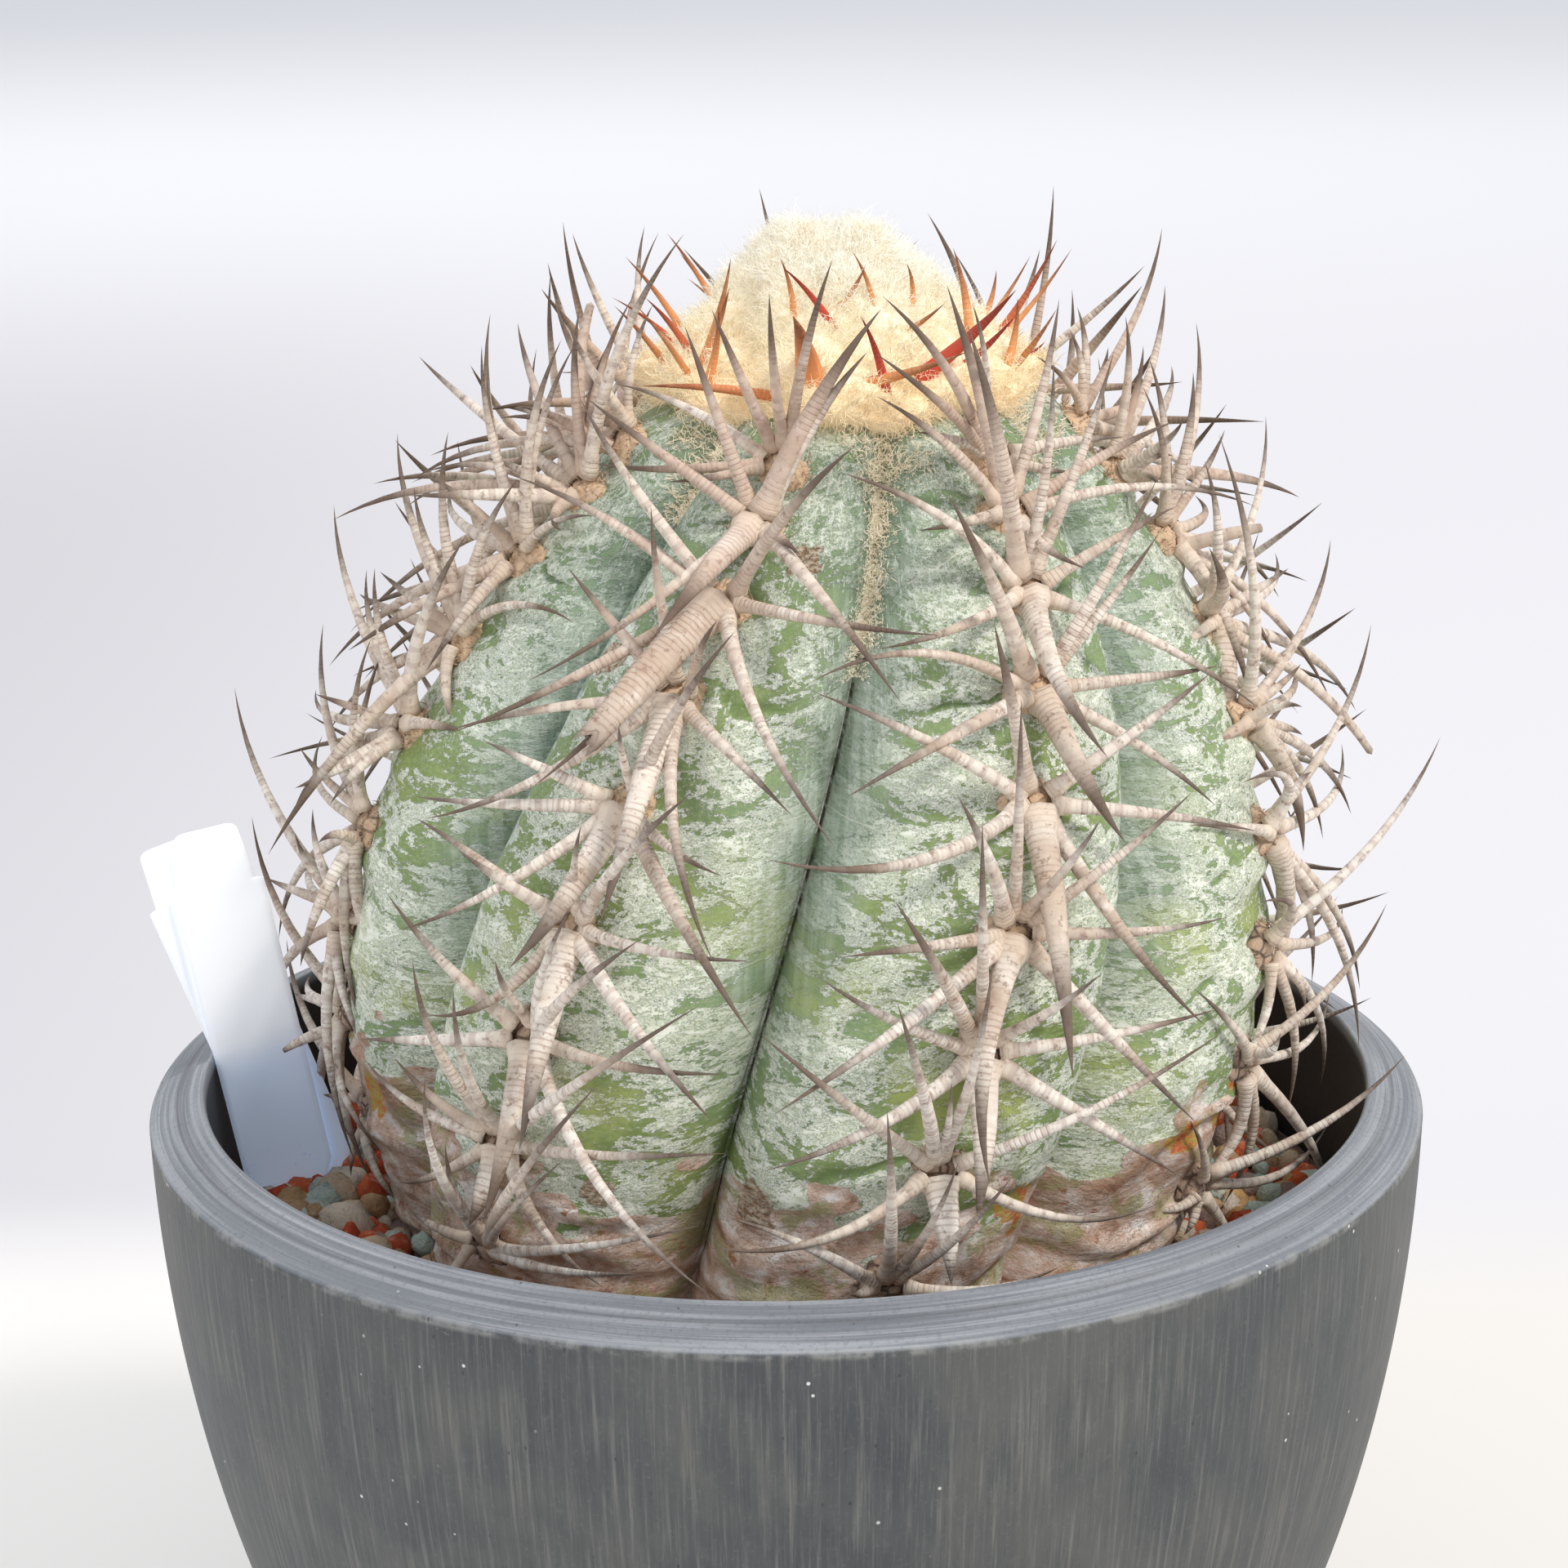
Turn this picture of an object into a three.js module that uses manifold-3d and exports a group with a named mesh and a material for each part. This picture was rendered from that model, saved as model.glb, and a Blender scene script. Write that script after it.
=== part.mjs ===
// A potted round cactus: seven broad ribs, long ringed spines, a cap of wool, a bowl-shaped plastic pot
// filled with soil under gravel, and two blank plant labels. Millimetres, +Z up, front at -Y.
// The origin is the middle of the pot's flat underside.
import * as THREE from "three";
import { mergeVertices } from "three/addons/utils/BufferGeometryUtils.js";
import Module from "manifold-3d";

const wasm = await Module();
wasm.setup();

// ---- Driving dimensions -------------------------------------------------------------------------------

const GAP = 0.35; // clear space between pieces that rest against each other
const DEGREE = Math.PI / 180;

const pot = {
  height: 118,
  outerRadius: 84, // at the crisp outer crease of the rim
  creaseDrop: 3.35, // the rim's top slopes down this far to the crease
  outerDepth: 140, // half height of the ellipse that the outer wall follows
  innerRadius: 76.6,
  innerDepth: 134,
  floor: 6,
  sides: 36,
  holes: 5,
  holeRadius: 4.5,
  holeRing: 27,
};

const soilTop = pot.height - 25.5;
const soilSides = 24;
const gravel = {
  base: soilTop + GAP,
  top: pot.height - 21.5,
  peak: pot.height - 18, // no stone stands higher
  hole: -20, // height over the rim at which the hole follows the stem
  rings: 3,
  stones: 34, // in each ring
};

// The stem's crest line as [height over the rim's top, distance from the axis], from taproot to crown.
const crestProfile = [
  [-60, 0], [-57, 6], [-45, 22], [-33, 40], [-21, 51], [-6, 57], [8, 60], [22, 60.5], [37, 58],
  [52, 52.5], [62, 47], [70, 41.5], [76, 36.5], [81, 31.8], [85.5, 28], [88, 22.5], [89, 12], [89, 0],
];
const stem = {
  ribs: 7,
  firstRib: -35 * DEGREE, // bearing of the first crest, from the front towards +X, at the twist's height
  twist: 0.27 * DEGREE, // turn of the ribs for each millimetre of height
  twistHeight: 15,
  middle: [3, 0], // of the section at the twist's height
  lean: [0.085, 0.11], // shift of the section for each millimetre of height
  flankDrop: 0.09, // share of the radius lost evenly from crest to furrow
  furrowDrop: 0.17, // share lost in the narrow furrow itself
  furrowPower: 6,
  swell: 0.9, // how far the crest stands out at a spine cushion, and draws in between two
};

// Heights of the spine cushions over the rim's top, on every rib, lowest first.
const cushionHeights = [-7, 8, 21.5, 34.5, 48, 59.5, 69.5, 77.5, 83.5];
const cushion = {
  side: 4.2,
  along: 4,
  lift: 2.5, // height of the spines' roots over the skin
  rings: [[0.45, 1], [3.3, 0.7]], // [height over the skin, share of the width] of its underside and its top
};

// The spines of one cushion: clock angle seen from outside, lift off the skin, length, radius at the root.
const radialSpines = [
  { clock: -95, lift: 24, length: 31, radius: 1.3 },
  { clock: 91, lift: 24, length: 31, radius: 1.3 },
  { clock: -34, lift: 42, length: 28, radius: 1.25 },
  { clock: 32, lift: 44, length: 28, radius: 1.25 },
  { clock: 138, lift: 25, length: 28, radius: 1.2, turns: true }, // to the other side on every second one
];
const radial = {
  bend: 0.2, // how far the tip bends in to the stem, as a share of the length
  spread: 2.3, // how far the root stands from the middle of its cushion
  steps: [0, 0.55, 1],
};
const central = {
  radius: 2.1,
  rise: 10.5, // of its shoulder over the cushion
  crossing: 7, // height at which it crosses the next central below
  crossingAt: 0.65, // place of the crossing along the spine
  swing: 1.4,
  steps: [0, 0.3, 0.62, 1],
};

const wool = {
  // [height over the rim's top, radius] of the cap, from its foot to its top
  profile: [[89.4, 24.5], [91, 26.5], [93.5, 25.2], [97.5, 21], [103, 14.6], [108, 8.5], [110.5, 0]],
  middle: [9, 8.5],
  sides: 10,
  tuft: [4.2, 4.2, 8], // half sizes of the tuft at the top of each furrow
  tuftHeight: 83,
  youngSpines: 8,
};

const label = {
  thickness: 0.6,
  foot: [-65.4, 8, pot.height - 17.2], // between the two labels, just over the gravel
  along: [-0.17, -0.27, 1], // the way they lean: over the pot's side and to the front
  across: [1, 0.22, 0.2294], // square to that
  width: 12,
  headLength: 8.75,
  shoulder: 1,
  taper: 0.9, // how much further each side of the head draws in at its top
  pointHalf: 0.9, // half the width at the end of the pointed foot, which starts at the gravel
  buried: 13,
  // turn, in radians, takes the top to the left
  back: { length: 53.8, sideStep: -0.32, turn: 0.096 },
  front: { length: 54.6, sideStep: -3.34, turn: -0.049 },
};

const colours = {
  pot: 0x55585c, soil: 0x3a2f27, gravel: 0xa98f78, stem: 0x93a98b, spines: 0xc9b199, wool: 0xf4e6c6,
  label: 0xf5f7fa,
};

// ---- Small helpers ------------------------------------------------------------------------------------

// Repeatable draws between two limits, by the Park-Miller rule.
function draws(seed) {
  let state = seed;
  return (low, high) => {
    state = (state * 16807) % 2147483647;
    return low + ((high - low) * state) / 2147483647;
  };
}

const add = (a, b, k = 1) => [a[0] + k * b[0], a[1] + k * b[1], a[2] + k * b[2]];
const dot = (a, b) => a[0] * b[0] + a[1] * b[1] + a[2] * b[2];
const scale = (a, k) => [a[0] * k, a[1] * k, a[2] * k];
const length = (a) => Math.sqrt(dot(a, a));
const unit = (a) => scale(a, 1 / length(a));
const cross = (a, b) => [a[1] * b[2] - a[2] * b[1], a[2] * b[0] - a[0] * b[2], a[0] * b[1] - a[1] * b[0]];

// A closed geometry as a solid for the booleans.
function solidOf(geometry) {
  const bare = geometry.clone();
  bare.deleteAttribute("normal");
  bare.deleteAttribute("uv");
  const merged = mergeVertices(bare, 1e-4);
  const corners = merged.index.array;
  const kept = [];
  for (let i = 0; i < corners.length; i += 3) {
    const [a, b, c] = [corners[i], corners[i + 1], corners[i + 2]];
    if (a !== b && b !== c && c !== a) kept.push(a, b, c);
  }
  return new wasm.Manifold(
    new wasm.Mesh({
      numProp: 3,
      vertProperties: merged.attributes.position.array,
      triVerts: new Uint32Array(kept),
    }),
  );
}

function geometryOf(points, corners) {
  const geometry = new THREE.BufferGeometry();
  geometry.setAttribute("position", new THREE.Float32BufferAttribute(points.flat(), 3));
  geometry.setIndex(corners);
  return geometry;
}

// A closed skin through rings of points, each counterclockwise seen from beyond the last ring. A ring of
// one point is a tip.
function stackOf(rings) {
  const corners = [];
  const corner = (...three) => {
    if (new Set(three).size === 3) corners.push(...three);
  };
  let start = 0;
  rings.slice(0, -1).forEach((lower, j) => {
    const upper = rings[j + 1];
    const next = start + lower.length;
    for (let i = 0; i < Math.max(lower.length, upper.length); i++) {
      const [a, b] = [start + (i % lower.length), start + ((i + 1) % lower.length)];
      const [d, c] = [next + (i % upper.length), next + ((i + 1) % upper.length)];
      corner(a, b, c);
      corner(a, c, d);
    }
    start = next;
  });
  for (let i = 1; i < rings[0].length - 1; i++) corner(0, i + 1, i);
  for (let i = 1; i < rings.at(-1).length - 1; i++) corner(start, start + i, start + i + 1);
  return geometryOf(rings.flat(), corners);
}

function largestBody(solid) {
  return solid.decompose().sort((a, b) => b.volume() - a.volume())[0];
}

function meshOf(name, solid, colour) {
  const mesh = solid.getMesh();
  const corners = Array.from(mesh.triVerts);
  const points = [];
  for (let i = 0; i < mesh.numVert; i++)
    points.push(Array.from(mesh.vertProperties.slice(i * mesh.numProp, i * mesh.numProp + 3)));
  const geometry = geometryOf(points, corners);
  geometry.computeVertexNormals();
  const made = new THREE.Mesh(geometry, new THREE.MeshStandardMaterial({ color: colour, roughness: 0.7 }));
  made.name = name;
  return made;
}

// A body turned round a line through `middle`, from [height, radius] pairs that run up the outside.
function turned(profile, sides, middle = [0, 0]) {
  const outline = profile.map(([height, radius]) => new THREE.Vector2(radius, height));
  return new THREE.LatheGeometry(outline, sides).rotateX(Math.PI / 2).translate(middle[0], middle[1], 0);
}

// ---- Pot, soil ----------------------------------------------------------------------------------------

// Wall radius at a depth below the rim: an ellipse that meets the rim upright.
const wallRadius = (radius, halfDepth, depth) => radius * Math.sqrt(1 - (depth / halfDepth) ** 2);

function wallLine(radius, halfDepth, fromDepth, toDepth, steps) {
  const line = [];
  for (let i = 0; i <= steps; i++) {
    const depth = fromDepth + ((toDepth - fromDepth) * i) / steps;
    line.push([pot.height - depth, wallRadius(radius, halfDepth, depth)]);
  }
  return line;
}

function makePot() {
  const outside = wallLine(pot.outerRadius, pot.outerDepth, pot.height, pot.creaseDrop, 5);
  const inside = wallLine(pot.innerRadius, pot.innerDepth, 0, pot.height - pot.floor, 5);
  let body = solidOf(turned([[0, 0], ...outside, ...inside, [pot.floor, 0]], pot.sides));
  for (let i = 0; i < pot.holes; i++) {
    const bearing = (i * 2 * Math.PI) / pot.holes;
    const drill = new THREE.CylinderGeometry(pot.holeRadius, pot.holeRadius, 4 * pot.floor, 10);
    const [x, y] = [pot.holeRing * Math.sin(bearing), pot.holeRing * Math.cos(bearing)];
    body = body.subtract(solidOf(drill.rotateX(Math.PI / 2).translate(x, y, 0)));
  }
  return body;
}

// The soil: it fills the pot below the gravel, with a plain round hole that the taproot stands in.
function makeSoil(slots) {
  const wall = pot.innerRadius * Math.cos(Math.PI / pot.sides) - 4 * GAP; // clear of the wall's flats
  const outside = wallLine(wall, pot.innerDepth, pot.height - pot.floor - GAP, pot.height - soilTop, 5);
  let body = solidOf(turned([[pot.floor + GAP, 0], ...outside, [soilTop, 0]], soilSides));
  const hole = [[crestProfile[0][0] - 1, 0]];
  for (const [height, radius] of crestProfile.filter(([h]) => h < -10))
    hole.push([height, radius / Math.cos(Math.PI / soilSides) + 2.5 * GAP]);
  const lifted = hole.map(([height, radius]) => [pot.height + height, radius]);
  const above = [pot.height + 5, lifted.at(-1)[1]];
  body = body.subtract(solidOf(turned([...lifted, above, [above[0], 0]], soilSides, axisAt(-25))));
  for (const slot of slots) body = body.subtract(slot);
  return body;
}

// ---- Stem ---------------------------------------------------------------------------------------------

// Point of the crest profile at t in 0..1, by a Catmull-Rom curve through its pairs.
function crestAt(t) {
  const last = crestProfile.length - 1;
  const place = Math.min(Math.max(t, 0), 1) * last;
  const i = Math.min(Math.floor(place), last - 1);
  const f = place - i;
  const at = (k) => crestProfile[Math.min(Math.max(k, 0), last)];
  return [0, 1].map((n) => {
    const [a, b, c, d] = [at(i - 1)[n], at(i)[n], at(i + 1)[n], at(i + 2)[n]];
    return b + (f * (c - a + f * (2 * a - 5 * b + 4 * c - d + f * (3 * (b - c) + d - a)))) / 2;
  });
}

// The parameter of the profile at a height, by halving.
function crestParameter(height) {
  let [low, high] = [0, 16 / 17];
  for (let i = 0; i < 40; i++) {
    const middle = (low + high) / 2;
    if (crestAt(middle)[0] < height) low = middle;
    else high = middle;
  }
  return (low + high) / 2;
}

const crestRadius = (height) => (height >= 89 ? 0 : crestAt(crestParameter(height))[1]);

// The crest swells at each cushion and draws in half way to the next: a cosine of the place in the row.
function swellAt(height) {
  const last = cushionHeights.length - 1;
  if (height <= cushionHeights[0] || height >= cushionHeights[last]) return 0;
  const i = cushionHeights.findIndex((h) => h > height) - 1;
  const share = (height - cushionHeights[i]) / (cushionHeights[i + 1] - cushionHeights[i]);
  return (stem.swell * (Math.cos(2 * Math.PI * share) - 1)) / 2;
}

// Share of the crest's radius at `across`, 0 on a crest and 1 in a furrow.
const ribShare = (across) =>
  1 - stem.flankDrop * across ** 2 - stem.furrowDrop * Math.abs(across) ** stem.furrowPower;

// Under the gravel the ribs fade out into the taproot.
const ribStrength = (height) => Math.min(Math.max((height + 45) / 35, 0), 1);

const axisAt = (height) => {
  const rise = Math.max(height, -25) - stem.twistHeight;
  return [stem.middle[0] + stem.lean[0] * rise, stem.middle[1] + stem.lean[1] * rise];
};

const bearingAt = (rib, across, height) =>
  stem.firstRib + ((rib + across / 2) * 2 * Math.PI) / stem.ribs + stem.twist * (height - stem.twistHeight);

// Distance of the skin from the axis at a bearing and a height.
function skinRadius(bearing, height, crest = crestRadius(height)) {
  const turn = (bearing - bearingAt(0, 0, height)) / ((2 * Math.PI) / stem.ribs);
  const across = 2 * (turn - Math.round(turn));
  const share = 1 + (ribShare(across) - 1) * ribStrength(height);
  return Math.max(crest + swellAt(height) * (1 - across ** 2), 0) * share;
}

// Point of the skin, or `grow` outside it, at a bearing and a pair of the crest profile.
function skinPoint(bearing, [height, crest], grow = 0) {
  const [x, y] = axisAt(height);
  const radius = crest > 0 ? skinRadius(bearing, height, crest) + grow : 0;
  return [x + radius * Math.sin(bearing), y - radius * Math.cos(bearing), pot.height + height];
}

function makeStem(grow = 0) {
  const acrossSteps = [-1, -0.86, -0.5, 0, 0.5, 0.86];
  const rows = [];
  const rowHeights = [-57, -50, -40, -30, -20, -13];
  cushionHeights.forEach((height, i) => {
    rowHeights.push(height);
    if (i < cushionHeights.length - 1) rowHeights.push((height + cushionHeights[i + 1]) / 2);
  });
  rowHeights.push(88);
  for (const height of rowHeights) {
    const pair = [height, crestRadius(height)];
    const row = [];
    for (let rib = 0; rib < stem.ribs; rib++)
      for (const across of acrossSteps)
        row.push(skinPoint(bearingAt(rib, across, height), pair, grow));
    rows.push(row);
  }
  const tip = (height) => [[...axisAt(height), pot.height + height]];
  const [foot, crown] = [crestProfile[0][0] - grow, crestProfile.at(-1)[0] + grow];
  return solidOf(stackOf([tip(foot), ...rows, tip(crown)]));
}

// ---- Spines -------------------------------------------------------------------------------------------

// Place and directions of a cushion: on the skin, with its normal, the way up the rib and the way aside.
function cushionFrame(rib, height) {
  const t = crestParameter(height);
  const on = (s) => {
    const pair = crestAt(s);
    return skinPoint(bearingAt(rib, 0, pair[0]), pair);
  };
  const bearing = bearingAt(rib, 0, height);
  const side = [Math.cos(bearing), Math.sin(bearing), 0];
  const along = add(on(Math.min(t + 0.02, 16 / 17)), on(t - 0.02), -1);
  const up = unit(add(along, side, -dot(along, side)));
  return { place: on(t), up, side, out: cross(side, up) };
}

// Point of a quadratic curve through its three control points.
const onCurve = ([a, b, c], t) => add(add(scale(a, (1 - t) ** 2), b, 2 * t * (1 - t)), c, t * t);

// A spine narrows slowly and comes to a point at its end.
const spineRadius = (spine, t) => spine.radius * (1 - t ** 2.2);

function radialSpine(frame, kind, draw, size, wander) {
  const handed = kind.turns && frame.index % 2 ? -1 : 1;
  const clock = handed * (kind.clock + draw(-9, 9) * wander) * DEGREE;
  const lift = (kind.lift + draw(-6, 6) * wander) * DEGREE;
  const reach = kind.length * size * draw(0.86, 1.12);
  const flat = add(scale(frame.up, Math.cos(clock)), frame.side, Math.sin(clock));
  const heading = add(scale(flat, Math.cos(lift)), frame.out, Math.sin(lift));
  const root = add(add(frame.place, frame.out, cushion.lift), flat, radial.spread);
  const tip = add(add(root, heading, reach), frame.out, -reach * radial.bend);
  const curve = [root, add(root, heading, reach / 2), tip];
  return { curve, radius: kind.radius * (0.75 + 0.25 * size), steps: radial.steps, frame };
}

// The central spine leaves its cushion outwards, arches down the rib, crosses over the root of the next
// central below, which it touches, and runs on to its point.
function centralSpine(frame, below, draw) {
  const root = add(frame.place, frame.out, cushion.lift);
  const over = add(add(below.place, below.out, central.crossing), below.side, draw(-0.8, 0.8));
  const shoulder = add(add(add(root, frame.out, central.rise), add(over, root, -1), 0.25), frame.side,
    draw(-central.swing, central.swing));
  const t = central.crossingAt;
  const tip = scale(add(add(over, root, -((1 - t) ** 2)), shoulder, -2 * t * (1 - t)), 1 / t ** 2);
  return { curve: [root, shoulder, tip], radius: central.radius, steps: central.steps, frame };
}

function segmentGap(a, b, c, d) {
  const [u, v, w] = [add(b, a, -1), add(d, c, -1), add(a, c, -1)];
  const [uu, uv, vv, uw, vw] = [dot(u, u), dot(u, v), dot(v, v), dot(u, w), dot(v, w)];
  const clamp = (x) => Math.min(Math.max(x, 0), 1);
  const den = uu * vv - uv * uv;
  let s = den > 1e-9 ? clamp((uv * vw - vv * uw) / den) : 0;
  const t = clamp((uv * s + vw) / vv);
  s = clamp((uv * t - uw) / uu);
  return length(add(add(w, u, s), v, -t));
}

const checkSteps = [0.12, 0.25, 0.4, 0.55, 0.7, 0.85, 1];

// Radius of the wool cap at a height over the rim, between the pairs of its profile.
function woolRadius(height) {
  const pairs = wool.profile;
  if (height < pairs[0][0] || height > pairs.at(-1)[0]) return 0;
  const i = Math.max(pairs.findIndex(([h]) => h > height), 1);
  const [[h0, r0], [h1, r1]] = [pairs[i - 1], pairs[i]];
  return r0 + ((r1 - r0) * (height - h0)) / (h1 - h0);
}

const labelAxes = [unit(label.across), unit(label.along)];
labelAxes.push(cross(...labelAxes));

const tuftPlaces = Array.from({ length: stem.ribs }, (_, rib) =>
  skinPoint(bearingAt(rib, 1, wool.tuftHeight), [wool.tuftHeight, crestRadius(wool.tuftHeight)], 1));

// Whether a ball of some radius at a point is clear of everything but the spines.
function clearOfRest(point, radius, ownPlace) {
  const [x, y, z] = point;
  const height = z - pot.height;
  const near = radius + 2 * GAP;
  if (z - near < gravel.peak) return false;
  if (height < near && Math.hypot(x, y) > pot.innerRadius - near) return false;
  const [cx, cy] = axisAt(height);
  const bearing = Math.atan2(x - cx, -(y - cy));
  const fromOwn = length(add(point, ownPlace, -1));
  if (fromOwn > cushion.side + 1 && height < 89.5)
    if (Math.hypot(x - cx, y - cy) < skinRadius(bearing, Math.min(height, 88.9)) + near + GAP) return false;
  if (Math.hypot(x - wool.middle[0], y - wool.middle[1]) < woolRadius(height) + near + 0.8) return false;
  const inTuft = (place) =>
    length(add(point, place, -1).map((d, n) => d / (wool.tuft[n] + near))) < 1;
  if (tuftPlaces.some(inTuft)) return false;
  const fromFoot = add(point, label.foot, -1);
  const [u, v, w] = labelAxes.map((axis) => dot(fromFoot, axis));
  const inReach = ({ length: tall, sideStep, turn }) => {
    const [c, s] = [Math.cos(turn), Math.sin(turn)];
    const [fromMiddle, up] = [(u - sideStep) * c + v * s, v * c - (u - sideStep) * s];
    return Math.abs(fromMiddle) < label.width / 2 + near && up < tall + near;
  };
  return !((inReach(label.back) || inReach(label.front)) && Math.abs(w - 0.5) < 1 + near);
}

const pieces = (spine) => {
  const points = spine.steps.map((t) => onCurve(spine.curve, t));
  return points.slice(1).map((end, i) => [points[i], end, spineRadius(spine, spine.steps[i])]);
};

function clearOfSpines(spine, others) {
  const own = pieces(spine);
  return others.every((other) => {
    if (other.frame === spine.frame || length(add(other.curve[0], spine.curve[0], -1)) > 85) return true;
    return pieces(other).every(([c, d, r]) =>
      own.every(([a, b, q]) => segmentGap(a, b, c, d) > q + r + GAP));
  });
}

const clearAlong = (spine) =>
  checkSteps.every((t) => clearOfRest(onCurve(spine.curve, t), spineRadius(spine, t), spine.curve[0]));

// The same spine, cut off short at t and pointed again.
function shortened(spine, t) {
  const [a, b, c] = spine.curve;
  return { ...spine, curve: [a, add(scale(a, 1 - t), b, t), onCurve([a, b, c], t)] };
}

// All rows of spines, as rows[rib] = { frames, spines }. Centrals come first, because they hold a row
// together; a radial spine that would meet anything is drawn again, and is left out after `tries`.
function placeSpines(tries = 24) {
  const draw = draws(4217);
  const rows = [];
  for (let rib = 0; rib < stem.ribs; rib++) {
    const frames = cushionHeights.map((height, i) => ({ ...cushionFrame(rib, height), index: i + rib }));
    const underLowest = { ...frames[0], place: add(frames[0].place, frames[0].up, -14) };
    const centrals = frames.map((frame, i) => centralSpine(frame, frames[i - 1] ?? underLowest, draw));
    const spines = centrals.map((spine) => {
      const share = [1, 0.93, 0.86, 0.8, 0.7, 0.6, 0.5].find((t) => clearAlong(shortened(spine, t)));
      return shortened(spine, share ?? 0.5);
    });
    rows.push({ frames, spines });
  }
  const placed = rows.flatMap((row) => row.spines);
  for (const kind of radialSpines)
    for (const row of rows)
      for (const frame of row.frames) {
        const atEnd = frame === row.frames[0] || frame === row.frames.at(-1);
        if (atEnd && kind.turns) continue;
        const size = frame === row.frames.at(-1) ? 0.8 : 1;
        for (let n = 0; n < tries; n++) {
          const spine = radialSpine(frame, kind, draw, size * (1 - 0.02 * n), 1 + 0.15 * n);
          if (!clearAlong(spine) || !clearOfSpines(spine, placed)) continue;
          row.spines.push(spine);
          placed.push(spine);
          break;
        }
      }
  return rows;
}

function spineSolid(spine) {
  const [a, b, c] = spine.curve;
  const heading = unit(add(c, a, -1));
  const first = unit(cross(heading, Math.abs(heading[2]) < 0.8 ? [0, 0, 1] : [1, 0, 0]));
  const second = cross(heading, first);
  const rings = spine.steps.slice(0, -1).map((t) => {
    const radius = 1.15 * spineRadius(spine, t); // a triangle about as thick as the round spine
    return [0, 1, 2].map((k) => {
      const turn = (k * 2 * Math.PI) / 3;
      const across = add(scale(first, radius * Math.cos(turn)), second, radius * Math.sin(turn));
      return add(onCurve([a, b, c], t), across);
    });
  });
  return solidOf(stackOf([...rings, [c]]));
}

// A cushion: a low five-sided block that stands just clear of the skin.
function cushionSolid(frame) {
  const rings = cushion.rings.map(([out, share]) =>
    [0, 1, 2, 3, 4].map((k) => {
      const turn = ((k + 0.25) * 2 * Math.PI) / 5;
      const aside = add(frame.place, frame.side, cushion.side * share * Math.cos(turn));
      const level = add(aside, frame.up, cushion.along * share * Math.sin(turn));
      return add(level, frame.out, out);
    }),
  );
  return solidOf(stackOf(rings));
}

// ---- Crown wool, gravel, labels -----------------------------------------------------------------------

function makeWool(grownStem) {
  const draw = draws(77);
  const [mx, my] = wool.middle;
  const rings = wool.profile.slice(0, -1).map(([height, radius], j) =>
    Array.from({ length: wool.sides }, (_, i) => {
      const bearing = (i * 2 * Math.PI) / wool.sides;
      const r = radius * draw(0.93, 1.0);
      const z = pot.height + height + (j ? draw(-1, 1) : 0);
      return [mx + r * Math.sin(bearing), my - r * Math.cos(bearing), z];
    }),
  );
  let body = solidOf(stackOf([...rings, [[mx, my, pot.height + wool.profile.at(-1)[0]]]]));
  for (const place of tuftPlaces) {
    const tuft = new THREE.SphereGeometry(1, 5, 4).rotateX(Math.PI / 2).scale(...wool.tuft);
    body = body.add(solidOf(tuft.translate(...place)).subtract(grownStem));
  }
  for (let i = 0; i < wool.youngSpines; i++) {
    const bearing = ((i + draw(-0.3, 0.3)) * 2 * Math.PI) / wool.youngSpines;
    const away = [Math.sin(bearing), -Math.cos(bearing), 0];
    const height = 91 + draw(0, 6);
    const root = add([mx, my, pot.height + height], away, woolRadius(height) - 5);
    const tip = add(add(root, away, draw(6, 13)), [0, 0, 1], draw(11, 17));
    const bow = add(scale(add(root, tip), 0.5), away, 1.5);
    body = body.add(spineSolid({ curve: [root, bow, tip], radius: 1.3, steps: radial.steps }));
  }
  return largestBody(body);
}

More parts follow.
